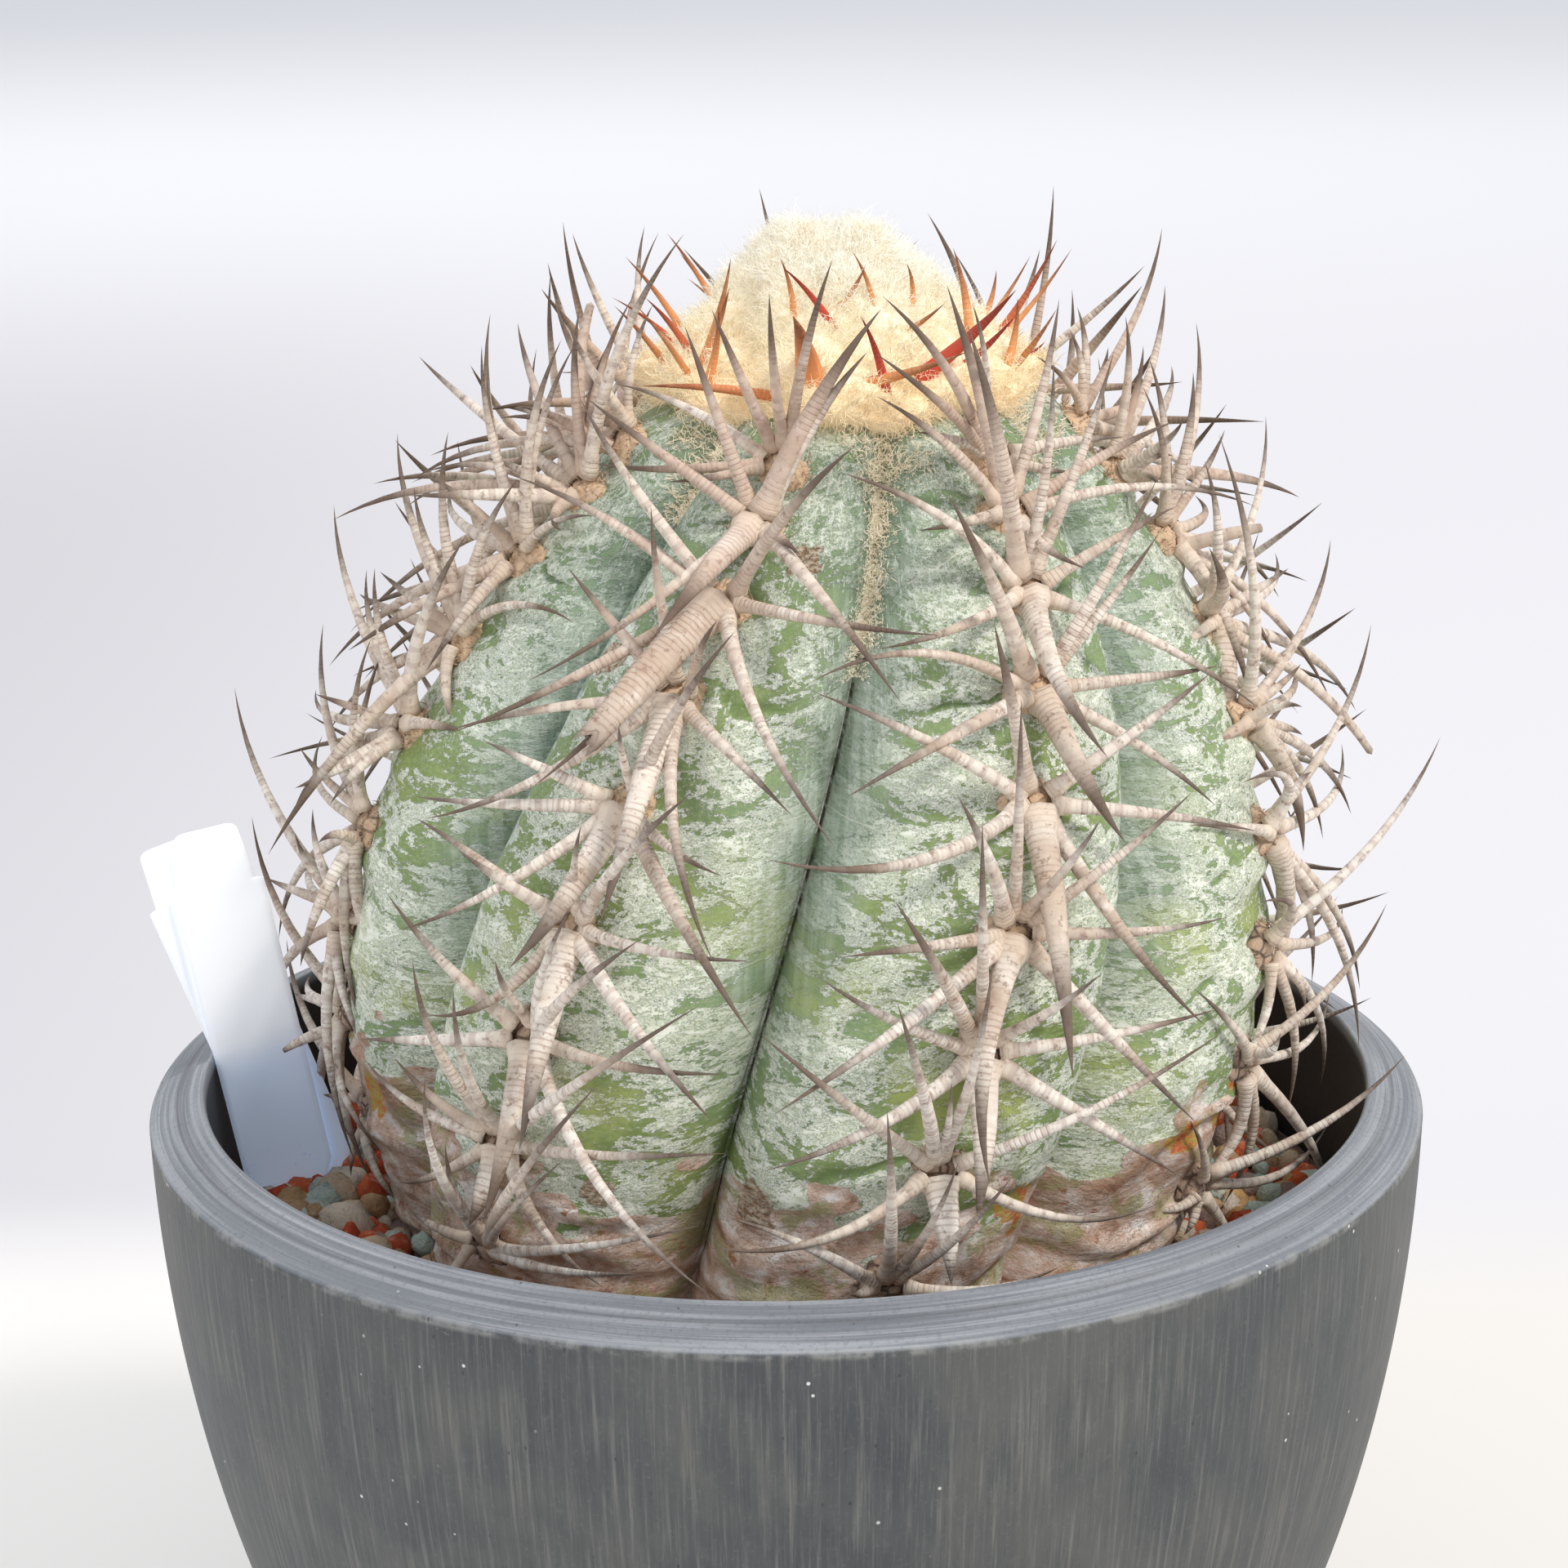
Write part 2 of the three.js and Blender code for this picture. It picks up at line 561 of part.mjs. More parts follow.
// The gravel: stones laid like bricks in rings between the stem and the wall. Each has six corners in the
// hollows round it, which it shares with its neighbours, and a smaller flat top that stands out of them.
function makeGravel(slots) {
  const draw = draws(905);
  const { rings, stones, base, top } = gravel;
  const round = wallRadius(pot.innerRadius, pot.innerDepth, pot.height - top);
  const wall = round * Math.cos(Math.PI / pot.sides) - 2 * GAP;
  const around = 2 * stones;
  const hollow = [];
  for (let j = 0; j <= rings; j++)
    for (let k = 0; k < around; k++) {
      const edge = j === 0 || j === rings;
      const bearing = ((k + (edge ? 0 : draw(-0.25, 0.25))) * 2 * Math.PI) / around;
      const [x, y] = axisAt(gravel.hole);
      const skin = skinRadius(bearing, gravel.hole) + 2 * GAP;
      const inner = [x + skin * Math.sin(bearing), y - skin * Math.cos(bearing), 0];
      const outer = [wall * Math.sin(bearing), -wall * Math.cos(bearing), 0];
      const share = j / rings + (edge ? 0 : draw(-0.07, 0.07));
      const flat = add(scale(inner, 1 - share), outer, share);
      hollow.push(add(flat, [0, 0, 1], top + (edge ? 0 : draw(-0.8, 0.4))));
    }
  const at = (j, k) => j * around + ((k + around) % around);
  const points = [...hollow];
  const corners = [];
  for (let j = 0; j < rings; j++)
    for (let i = 0; i < stones; i++) {
      const k = 2 * i + (j % 2);
      const rim = [at(j, k), at(j + 1, k), at(j + 1, k + 1), at(j + 1, k + 2), at(j, k + 2), at(j, k + 1)];
      const middle = scale(rim.reduce((sum, n) => add(sum, hollow[n]), [0, 0, 0]), 1 / 6);
      const rise = draw(2, 3.2);
      const first = points.length;
      rim.forEach((n, m) => {
        const share = draw(0.6, 0.8);
        points.push(add(add(scale(middle, 1 - share), hollow[n], share), [0, 0, 1], rise));
        const [a, b, c, d] = [n, rim[(m + 1) % 6], first + ((m + 1) % 6), first + m];
        corners.push(a, b, c, a, c, d);
      });
      for (let m = 1; m < 5; m++) corners.push(first, first + m, first + m + 1);
    }
  // the flat underside and the two walls
  const under = points.length;
  for (const j of [0, rings])
    for (let k = 0; k < around; k++) points.push([...hollow[at(j, k)].slice(0, 2), base]);
  for (let k = 0; k < around; k++) {
    const n = (k + 1) % around;
    const [a, b, c, d] = [under + k, under + n, under + around + n, under + around + k];
    corners.push(a, b, c, a, c, d);
    corners.push(at(0, k), at(0, n), b, at(0, k), b, a);
    corners.push(at(rings, n), at(rings, k), d, at(rings, n), d, c);
  }
  let body = solidOf(geometryOf(points, corners));
  for (const slot of slots) body = body.subtract(slot);
  return largestBody(body);
}

// A flat strip with a pointed foot and a narrower head, turned about its foot in its own plane, some layers
// towards the front, `grow` larger all round.
function labelSolid({ length: tall, sideStep, turn }, layer, grow) {
  const half = label.width / 2 + grow;
  const [neckHalf, topHalf] = [half - label.shoulder, half - label.shoulder - label.taper];
  const [low, neck, top] = [-label.buried - grow, tall - label.headLength, tall + grow];
  const side = [
    [label.pointHalf + grow, low], [half, -grow], [half, neck], [neckHalf, neck], [topHalf, top],
  ];
  const outline = new THREE.Shape([...side, ...side.map(([x, y]) => [-x, y]).reverse()]
    .map(([x, y]) => new THREE.Vector2(x, y)));
  const depth = label.thickness + 2 * grow;
  const strip = new THREE.ExtrudeGeometry(outline, { depth, bevelEnabled: false });
  strip.rotateZ(turn).translate(sideStep, 0, layer * (label.thickness + GAP) - depth / 2);
  const axes = labelAxes.map((axis) => new THREE.Vector3(...axis));
  return solidOf(strip.applyMatrix4(new THREE.Matrix4().makeBasis(...axes)).translate(...label.foot));
}

// ---- Assembly -----------------------------------------------------------------------------------------

const rows = placeSpines();
const grownStem = makeStem(GAP);
const labels = [
  ["plant_label_back", label.back, 0],
  ["plant_label_front", label.front, 1],
];
const slots = labels.map(([, form, layer]) => labelSolid(form, layer, GAP));

const root = new THREE.Group();
root.name = "potted_round_cactus";
root.add(meshOf("pot", makePot(), colours.pot));

root.add(meshOf("potting_soil", makeSoil(slots), colours.soil));
root.add(meshOf("gravel_top_dressing", makeGravel(slots), colours.gravel));

rows.forEach((row, rib) => {
  const parts = [...row.frames.map(cushionSolid), ...row.spines.map(spineSolid)];
  const fused = parts.reduce((sum, part) => sum.add(part));
  root.add(meshOf("spine_row_" + (rib + 1), fused, colours.spines));
});
root.add(meshOf("cactus_stem", makeStem(), colours.stem));
root.add(meshOf("crown_wool", makeWool(grownStem), colours.wool));
for (const [name, form, layer] of labels) root.add(meshOf(name, labelSolid(form, layer, 0), colours.label));

export default root;
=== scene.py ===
import math
import bpy
import numpy as np
from mathutils import Matrix


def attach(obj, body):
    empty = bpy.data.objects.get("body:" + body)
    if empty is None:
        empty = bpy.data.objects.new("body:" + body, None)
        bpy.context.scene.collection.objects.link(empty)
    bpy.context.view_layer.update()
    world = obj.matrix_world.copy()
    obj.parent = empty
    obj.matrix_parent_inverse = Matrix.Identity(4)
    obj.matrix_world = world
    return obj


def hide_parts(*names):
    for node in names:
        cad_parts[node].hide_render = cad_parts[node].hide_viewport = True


# A potted round cactus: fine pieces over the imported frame. Shapes are worked out in millimetres, with +Z up
# and the origin under the middle of the pot, and put into the meshes in metres.
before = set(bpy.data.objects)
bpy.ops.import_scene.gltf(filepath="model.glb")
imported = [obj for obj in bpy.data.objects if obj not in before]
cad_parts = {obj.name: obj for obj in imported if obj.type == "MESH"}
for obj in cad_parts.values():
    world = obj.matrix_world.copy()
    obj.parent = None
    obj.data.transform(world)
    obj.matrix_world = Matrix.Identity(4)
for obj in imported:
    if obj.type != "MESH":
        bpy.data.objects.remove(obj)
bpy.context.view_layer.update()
millimetre = 0.001
rimHeight = 118.0  # the rim's top over the floor; what is named "height" below counts from there
fullTurn = 2 * np.pi

print("stage: camera and light")
viewpoint = {
    "distance": 450.0,  # from the middle of the rim
    "elevation": 20.9,  # degrees over the horizon
    "dip": 16.3,  # degrees that the view looks down
    "roll": -0.66,
    "yaw": 0.03,
    "focal": 4105.0,  # in pixels of the picture
    "picture": 1920,  # pixels along its side
}


def viewAxes():
    # the eye, and the view's right, up and forward directions as rows
    elevation, dip, roll, yaw = (math.radians(viewpoint[k]) for k in ("elevation", "dip", "roll", "yaw"))
    eye = viewpoint["distance"] * np.array([0, -math.cos(elevation), math.sin(elevation)]) + [0, 0, rimHeight]
    forward = np.array([math.sin(yaw) * math.cos(dip), math.cos(yaw) * math.cos(dip), -math.sin(dip)])
    level = np.cross(forward, [0, 0, 1])
    level /= np.linalg.norm(level)
    upright = np.cross(level, forward)
    right = math.cos(roll) * level + math.sin(roll) * upright
    up = math.cos(roll) * upright - math.sin(roll) * level
    return eye, np.array([right, up, forward])


eye, axesOfView = viewAxes()


def makeCamera():
    data = bpy.data.cameras.new("camera")
    data.sensor_width = 36.0
    data.lens = viewpoint["focal"] / viewpoint["picture"] * data.sensor_width
    data.clip_start, data.clip_end = 0.01, 30.0
    camera = bpy.data.objects.new("camera", data)
    turn = Matrix([axesOfView[0], axesOfView[1], -axesOfView[2]]).transposed().to_4x4()
    camera.matrix_world = Matrix.Translation(eye * millimetre) @ turn
    bpy.context.scene.collection.objects.link(camera)
    bpy.context.scene.camera = camera


makeCamera()

lightRoom = {
    "air": 0.78,  # strength of the even light
    "airColour": (0.92, 0.95, 1.0),
    "aim": (0, 0, 0.15),  # where the lamps point, in metres
    # name: place in metres, size, watts, colour
    "lamps": {
        "keyLight": ((2.0, -1.5, 2.9), 0.9, 96.0, (1.0, 0.96, 0.90)),
        "fillLight": ((-2.6, -2.0, 1.8), 2.0, 20.0, (0.88, 0.94, 1.0)),
        "backLight": ((-0.6, 2.6, 2.6), 1.8, 34.0, (1.0, 0.98, 0.95)),
    },
}


def aimed(towards):
    # the turn that points -Z along a direction
    back = -towards / np.linalg.norm(towards)
    side = np.cross([0, 0, 1], back)
    side /= np.linalg.norm(side)
    return Matrix([side, np.cross(back, side), back]).transposed().to_4x4()


def makeLights():
    world = bpy.data.worlds.new("paleRoom")
    world.use_nodes = True
    air = world.node_tree.nodes["Background"]
    air.inputs["Color"].default_value = (*lightRoom["airColour"], 1)
    air.inputs["Strength"].default_value = lightRoom["air"]
    bpy.context.scene.world = world
    for name, (place, size, watts, colour) in lightRoom["lamps"].items():
        data = bpy.data.lights.new(name, "AREA")
        data.shape, data.size, data.energy, data.color = "DISK", size, watts, colour
        lamp = bpy.data.objects.new(name, data)
        lamp.matrix_world = Matrix.Translation(place) @ aimed(np.array(lightRoom["aim"]) - np.array(place))
        bpy.context.scene.collection.objects.link(lamp)


makeLights()
bpy.context.scene.view_settings.view_transform = "Standard"
bpy.context.scene.view_settings.look = "None"


def paint(*levels):
    # a colour as read off the picture, 0 to 255, in linear light
    shares = [level / 255 for level in levels]
    return (*(((c + 0.055) / 1.055) ** 2.4 if c > 0.04 else c / 12.92 for c in shares), 1.0)


class Wire:
    # a node's socket; arithmetic on it adds Math nodes to its recipe
    def __init__(self, recipe, socket):
        self.recipe, self.socket = recipe, socket

    def math(self, operation, *others):
        return self.recipe.node("ShaderNodeMath", {"operation": operation}, [self, *others])

    def __add__(self, other):
        return self.math("ADD", other)

    def __mul__(self, other):
        return self.math("MULTIPLY", other)

    def __sub__(self, other):
        return self.math("SUBTRACT", other)

    def __rsub__(self, other):
        return self.recipe.node("ShaderNodeMath", {"operation": "SUBTRACT"}, [other, self])

    def __truediv__(self, other):
        return self.math("DIVIDE", other)

    def __pow__(self, other):
        return self.math("POWER", other)

    __radd__, __rmul__ = __add__, __mul__


class Recipe:
    # one material; node() takes a node's type, its settings and its sockets' values or wires
    def __init__(self, name, paints):
        self.material = bpy.data.materials.new(name)
        self.material.use_nodes = True
        self.tree, self.paints = self.material.node_tree, paints
        self.tree.nodes.clear()
        self.place = self.node("ShaderNodeTexCoord", output="Object")

    def node(self, kind, settings=None, values=None, output=0):
        made = self.tree.nodes.new(kind)
        for key, value in (settings or {}).items():
            if key == "stops":
                self.fillRamp(made.color_ramp, value)
            elif key == "steps":
                made.color_ramp.interpolation = value
            else:
                setattr(made, key, value)
        entries = values.items() if isinstance(values, dict) else enumerate(values or [])
        for key, value in entries:
            if isinstance(value, Wire):
                self.tree.links.new(value.socket, made.inputs[key])
            elif value is not None:
                made.inputs[key].default_value = value
        return Wire(self, made.outputs[output])

    def fillRamp(self, ramp, stops):
        while len(ramp.elements) < len(stops):
            ramp.elements.new(0.5)
        for element, (position, colour) in zip(ramp.elements, stops):
            element.position, element.color = position, colour

    def own(self, name):
        # a number kept on the piece's points
        return self.node("ShaderNodeAttribute", {"attribute_name": name}, output="Fac")

    def joined(self, *numbers):
        return self.node("ShaderNodeCombineXYZ", None, numbers)

    def part(self, axis):
        # one coordinate of the place: 0, 1 or 2
        return self.node("ShaderNodeSeparateXYZ", None, [self.place], axis)

    def scaled(self, vector, factors):
        return self.node("ShaderNodeVectorMath", {"operation": "MULTIPLY"}, [vector, factors])

    def noise(self, vector, scale, detail=2.0, roughness=0.5, distortion=0.0):
        # three scales stretch the pattern along the axes
        if isinstance(scale, tuple):
            vector, scale = self.scaled(vector, scale), 1.0
        values = {"Vector": vector, "Scale": scale, "Detail": detail, "Roughness": roughness}
        return self.node("ShaderNodeTexNoise", None, {**values, "Distortion": distortion})

    def cells(self, vector, scale, feature="F1"):
        return self.node("ShaderNodeTexVoronoi", {"feature": feature}, {"Vector": vector, "Scale": scale})

    def between(self, value, low, high):
        # 0 below low, 1 over high, smooth between; runs the other way where low is the larger
        return self.node("ShaderNodeMapRange", {"interpolation_type": "SMOOTHSTEP"},
                         {"Value": value, "From Min": low, "From Max": high})

    def tint(self, colour):
        # a colour is a wire or the name of one of the piece's paints
        return colour if isinstance(colour, Wire) else paint(*self.paints[colour])

    def ramp(self, value, stops, steps="LINEAR"):
        stops = [(position, self.tint(colour)) for position, colour in stops]
        return self.node("ShaderNodeValToRGB", {"steps": steps, "stops": stops}, [value])

    def coats(self, colour, *coats):
        # colours laid over a first one in turn, each by its share
        for share, coat in coats:
            colour = self.node("ShaderNodeMix", {"data_type": "RGBA"},
                               {0: share, 6: self.tint(colour), 7: self.tint(coat)}, 2)
        return colour

    def bump(self, height, depth):
        # depth in millimetres for a height of 1
        values = {"Strength": 1.0, "Distance": depth * millimetre, "Height": height}
        return self.node("ShaderNodeBump", None, values)

    def finish(self, colour, roughness, normal=None, **fixed):
        # a piece given a painted glow, which is painted light since it is no lamp, has a paint of that name
        names = {"subsurface": "Subsurface Weight", "scatter": "Subsurface Scale", "sheen": "Sheen Weight",
                 "radius": "Subsurface Radius", "specular": "Specular IOR Level", "glow": "Emission Strength"}
        values = {"Base Color": colour, "Roughness": roughness, "Normal": normal}
        values.update({names[k]: v for k, v in fixed.items()})
        if "glow" in fixed:
            values["Emission Color"] = self.tint("glow")
        shader = self.node("ShaderNodeBsdfPrincipled", None, values)
        self.tree.links.new(shader.socket, self.tree.nodes.new("ShaderNodeOutputMaterial").inputs["Surface"])
        return self.material


def unit(vectors):
    return vectors / np.maximum(np.linalg.norm(vectors, axis=-1, keepdims=True), 1e-9)


def smoothStep(low, high, x):
    share = np.clip((np.asarray(x, float) - low) / (high - low), 0, 1)
    return share * share * (3 - 2 * share)


def turns(count):
    # even bearings once round
    return np.arange(count) * fullTurn / count


def gridFaces(rows, columns):
    # quads of a sheet of rows that closes round on itself, row by row upwards
    i, j = np.meshgrid(np.arange(rows - 1) * columns, np.arange(columns), indexing="ij")
    after = (j + 1) % columns
    return np.stack([i + j, i + after, i + columns + after, i + columns + j], -1).reshape(-1, 4)


def shutFaces(rows, columns):
    # the same, with a fan at each end to one point; the low end's point and the top's follow the rows
    k = np.arange(columns)
    after, last, end = (k + 1) % columns, (rows - 1) * columns, rows * columns
    low = np.stack([after, k, np.full(columns, end)], -1)
    top = np.stack([k + last, after + last, np.full(columns, end + 1)], -1)
    return [gridFaces(rows, columns), low, top]


def shutRows(points, low, top):
    # the points and the faces of rows that close round on themselves, with a point to shut each end
    return np.concatenate([points.reshape(-1, 3), [low, top]]), shutFaces(*points.shape[:2])


def withEnds(values, shape, low=0, top=0):
    # numbers kept on such rows and on their two ends
    return np.concatenate([np.broadcast_to(values, shape).ravel(), [low, top]])


def repeated(faces, count, block):
    # the faces of `count` copies, each of `block` points
    base = np.arange(count)[:, None, None] * block
    return [(some[None] + base).reshape(-1, some.shape[1]) for some in faces]


class Heap:
    # gathers points, faces, material numbers and the numbers kept on points, and makes them one mesh
    def __init__(self):
        self.points, self.faces, self.slots, self.kept, self.count = [], [], [], [], 0

    def put(self, points, faces, slot=0, **kept):
        points = np.asarray(points, float).reshape(-1, 3)
        for block in faces:
            self.faces.append(block + self.count)
            self.slots.append(np.full(len(block), slot))
        size = (len(points),)
        self.kept.append({k: np.broadcast_to(np.ravel(v), size) for k, v in kept.items()})
        self.points.append(points)
        self.count += len(points)
        return self

    def piece(self, name, materials, slot, replaced=()):
        mesh = bpy.data.meshes.new(name)
        points = np.concatenate(self.points) * millimetre
        sizes = np.concatenate([np.full(len(f), f.shape[1]) for f in self.faces])
        corners = np.concatenate([f.ravel() for f in self.faces])
        starts = np.cumsum(sizes) - sizes
        mesh.vertices.add(len(points))
        mesh.vertices.foreach_set("co", points.ravel())
        mesh.loops.add(len(corners))
        mesh.loops.foreach_set("vertex_index", corners.astype(np.int32))
        mesh.polygons.add(len(sizes))
        mesh.polygons.foreach_set("loop_start", starts.astype(np.int32))
        mesh.polygons.foreach_set("material_index", np.concatenate(self.slots).astype(np.int32))
        mesh.polygons.foreach_set("use_smooth", np.ones(len(sizes), bool))
        for key in sorted({k for kept in self.kept for k in kept}):
            values = [kept.get(key, np.zeros(len(p))) for kept, p in zip(self.kept, self.points)]
            values = np.concatenate(values).astype(np.float32)
            mesh.attributes.new(key, "FLOAT", "POINT").data.foreach_set("value", values)
        mesh.update(calc_edges=True)
        mesh.validate()
        made = bpy.data.objects.new(name, mesh)
        bpy.context.scene.collection.objects.link(made)
        for material in materials:
            mesh.materials.append(material)
        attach(made, "root")
        if replaced:
            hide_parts(*replaced)
        print("  ", name, len(sizes), "faces")
        return made


def tubeFaces(count, steps, sides):
    # faces of `count` tubes, each of steps - 1 rings and one tip, closed at the root
    block = sides * (steps - 1) + 1
    last = sides * (steps - 2)
    k = np.arange(sides)
    tips = np.stack([last + k, last + (k + 1) % sides, np.full(sides, block - 1)], -1)
    return repeated([gridFaces(steps - 1, sides), tips, k[None, ::-1]], count, block)


def tubes(lines, widths, flats, sides):
    # Rings carried along each line (n, steps, 3): a ring's point is the line's point, plus the sideways
    # direction by width times the cosine, plus the one across it by flat times the sine. The last point is
    # the tip.
    n, steps, _ = lines.shape
    run = unit(np.gradient(lines, axis=1))
    bend = np.cross(lines[:, -1] - lines[:, 0], lines[:, steps // 2] - lines[:, 0])
    plain = np.cross(lines[:, -1] - lines[:, 0], np.array([0.13, -0.31, 0.94]))  # any slanting direction
    bent = np.linalg.norm(bend, axis=-1, keepdims=True) > 0.02 * np.linalg.norm(plain, axis=-1, keepdims=True)
    aside = unit(np.where(bent, bend, plain))[:, None, :]
    aside = unit(aside - run * (aside * run).sum(-1, keepdims=True))
    over = np.cross(run, aside)
    turn = turns(sides)
    rings = (lines[:, :-1, None] + aside[:, :-1, None] * (widths[:, :-1, None] * np.cos(turn))[..., None]
             + over[:, :-1, None] * (flats[:, :-1, None] * np.sin(turn))[..., None])
    return np.concatenate([rings.reshape(n, -1, 3), lines[:, -1:]], axis=1)


def perPoint(values, shape, sides):
    # numbers for each step of each tube, repeated round its rings
    values = np.broadcast_to(values, shape)
    return np.concatenate([np.repeat(values[:, :-1], sides, axis=1), values[:, -1:]], axis=1)


def putHairs(heap, slot, radius, root, middle, bend, **kept):
    # three-sided hairs from a root to a middle and on from there by a bend
    radius = np.broadcast_to(radius, (len(root), 3))
    lines = np.stack([root, middle, middle + bend], 1)
    kept = {k: np.repeat(v, 7) for k, v in kept.items()}  # a hair has two rings of three points and a tip
    heap.put(tubes(lines, radius, radius, 3), tubeFaces(len(root), 3, 3), slot, **kept)


# the crest line as [height, distance from the axis], from taproot to crown
crestProfile = np.array([
    [-60, 0], [-57, 6], [-45, 22], [-33, 40], [-21, 51], [-6, 57], [8, 60], [22, 60.5], [37, 58], [52, 52.5],
    [62, 47], [70, 41.5], [76, 36.5], [81, 31.8], [85.5, 28], [88, 22.5], [89, 12], [89, 0]], float)
stem = {
    "ribs": 7,
    "firstRib": math.radians(-35),  # bearing of the first crest from the front towards +X, at twistHeight
    "twist": math.radians(0.27),
    "twistHeight": 15.0,
    "middle": (3.0, 0.0),
    "lean": (0.085, 0.11),
    "straightBelow": -25,  # the taproot under this height doesn't lean
    "flankDrop": 0.09,
    "furrowDrop": 0.17,
    "furrowPower": 6,
    "roundBelow": -45,  # the ribs grow between this height and the next
    "ribbedFrom": -10,
    "swell": 0.9,
}
cushionHeights = np.array([-7, 8, 21.5, 34.5, 48, 59.5, 69.5, 77.5, 83.5])
taprootEnd, crownHeight = crestProfile[0, 0], crestProfile[-1, 0]


def crestAt(t):
    # a Catmull-Rom curve through the profile's pairs
    last = len(crestProfile) - 1
    place = np.clip(np.asarray(t, float), 0, 1) * last
    i = np.minimum(place.astype(int), last - 1)
    f = (place - i)[..., None]
    a, b, c, d = (crestProfile[np.clip(i + k, 0, last)] for k in (-1, 0, 1, 2))
    return b + f * (c - a + f * (2 * a - 5 * b + 4 * c - d + f * (3 * (b - c) + d - a))) / 2


crownStart = 16 / 17  # where the curve turns level: the last but one of the pairs
profileSteps = np.linspace(0, crownStart, 4000)
profileTable = crestAt(profileSteps)


def crestRadius(height):
    return np.interp(height, profileTable[:, 0], profileTable[:, 1])


def cushionShare(height):
    # counts the cushions up to a height; whole at each of them
    return np.interp(height, cushionHeights, np.arange(len(cushionHeights)))


def swellAt(height):
    # the crest stands out at each cushion and draws in half way to the next
    return stem["swell"] * (np.cos(fullTurn * cushionShare(height)) - 1) / 2


def axisAt(height):
    rise = np.maximum(np.asarray(height, float), stem["straightBelow"]) - stem["twistHeight"]
    return stem["middle"][0] + stem["lean"][0] * rise, stem["middle"][1] + stem["lean"][1] * rise


def bearingAt(rib, across, height):
    return (stem["firstRib"] + (rib + across / 2) * fullTurn / stem["ribs"]
            + stem["twist"] * (height - stem["twistHeight"]))


def skinDistance(across, height, crest):
    # crest radius and swelling, less a share that grows with the square and the sixth power of `across`
    share = 1 - stem["flankDrop"] * across ** 2 - stem["furrowDrop"] * np.abs(across) ** stem["furrowPower"]
    strength = np.clip((height - stem["roundBelow"]) / (stem["ribbedFrom"] - stem["roundBelow"]), 0, 1)
    return np.maximum(crest + swellAt(height) * (1 - across ** 2), 0) * (1 + (share - 1) * strength)


def atBearing(distance, bearing, height):
    # a point of the plant: so far from the stem's axis, at a bearing and a height
    x, y = axisAt(height)
    return np.stack(np.broadcast_arrays(
        x + distance * np.sin(bearing), y - distance * np.cos(bearing), rimHeight + height), -1)


def skinPoint(rib, across, height, crest=None, grow=0.0):
    crest = crestRadius(height) if crest is None else crest
    return atBearing(skinDistance(across, height, crest) + grow, bearingAt(rib, across, height), height)


def cushionFrames(rib, heights):
    # place on the crest, the way up the rib, the way aside and the way out, for each height
    t = np.interp(heights, profileTable[:, 0], profileSteps)
    ahead, behind = crestAt(np.minimum(t + 0.02, crownStart)), crestAt(t - 0.02)
    bearing = bearingAt(rib, 0.0, heights)
    side = np.stack([np.cos(bearing), np.sin(bearing), 0 * bearing], -1)
    along = skinPoint(rib, 0.0, *ahead.T) - skinPoint(rib, 0.0, *behind.T)
    up = unit(along - side * (along * side).sum(-1, keepdims=True))
    return skinPoint(rib, 0.0, heights), up, side, np.cross(side, up)


frames = [cushionFrames(rib, cushionHeights) for rib in range(stem["ribs"])]

print("stage: stem")
skinDetail = {
    "around": 48,  # points round each rib
    "crowding": 1.3,  # how much closer together they stand in the furrows
    "rows": (14, 250),  # up the taproot and up the rest
    "shares": (0.004, 0.2, 0.995),  # of the crest line: where each begins and the second ends
    "perRadian": 50,  # mm of skin that the pattern counts for a radian of bearing
    "lumps": 0.4,  # mm
    "creaseDepth": 0.9,
    # half width, start over a cushion, fall to the furrow and wander, in cushion distances
    "crease": (0.05, 0.14, 0.42, 0.10),
    "chin": 1.0,  # how far the crest swells out under a cushion
    "wrinkles": 0.6,
    "corkFine": 0.14,
    "corkLine": (1.5, 6.5, 3.5),  # how high the cork stands in front, and how much more to the left and right
    "corkWander": 4.5,
    "body": (-2, 81),  # heights between which the skin has creases
    # seed, number, longest and shortest length in mm of the waves that make each
    "lumpWaves": (3, 9, 34, 7),
    "fineWaves": (8, 8, 7, 1.8),
    "creaseWaves": (5, 6, 34, 8),
    "strengthWaves": (6, 6, 40, 14),
    "corkWaves": (4, 7, 26, 5),
    "wrinkleWaves": (9, 6, 36, 12),
    "spotWaves": (12, 5, 5, 1.6),
    # spots on the skin: rib, across, height, size in mm
    "scars": [(0, 0.42, 74.0, 2.6), (0, -0.62, 62.0, 2.8), (1, -0.75, 2.0, 3.2), (0, 0.5, 3.0, 2.2)],
    "rust": [(2, 0.1, 2.0, 5.5), (2, -0.35, 1.5, 3.5), (1, 0.55, 0.0, 3.5), (6, 0.5, 1.0, 4.0)],
}


def waves(seed, count, longest, shortest, *axes):
    # a sum of sines of seeded directions and phases over the given coordinates, between about -1 and 1
    draw = np.random.default_rng(seed)
    total = 0
    for k in range(count):
        length = longest * (shortest / longest) ** (k / max(count - 1, 1))
        heading = unit(draw.normal(size=len(axes)))
        along = sum(h * a for h, a in zip(heading, axes))
        total = total + np.sin(along * fullTurn / length + draw.uniform(0, 6.283))
    return total / math.sqrt(count)


def corkShare(bearing, height, noise):
    # how corky the skin is: all of it below a line that stands higher on the sides and the back than in front
    bearing = (bearing + np.pi) % fullTurn - np.pi
    front, left, right = skinDetail["corkLine"]
    line = front + left * smoothStep(0.55, 1.2, -bearing) + right * smoothStep(0.7, 1.4, bearing)
    return 1 - smoothStep(-2.5, 2.5, height - line - skinDetail["corkWander"] * noise)


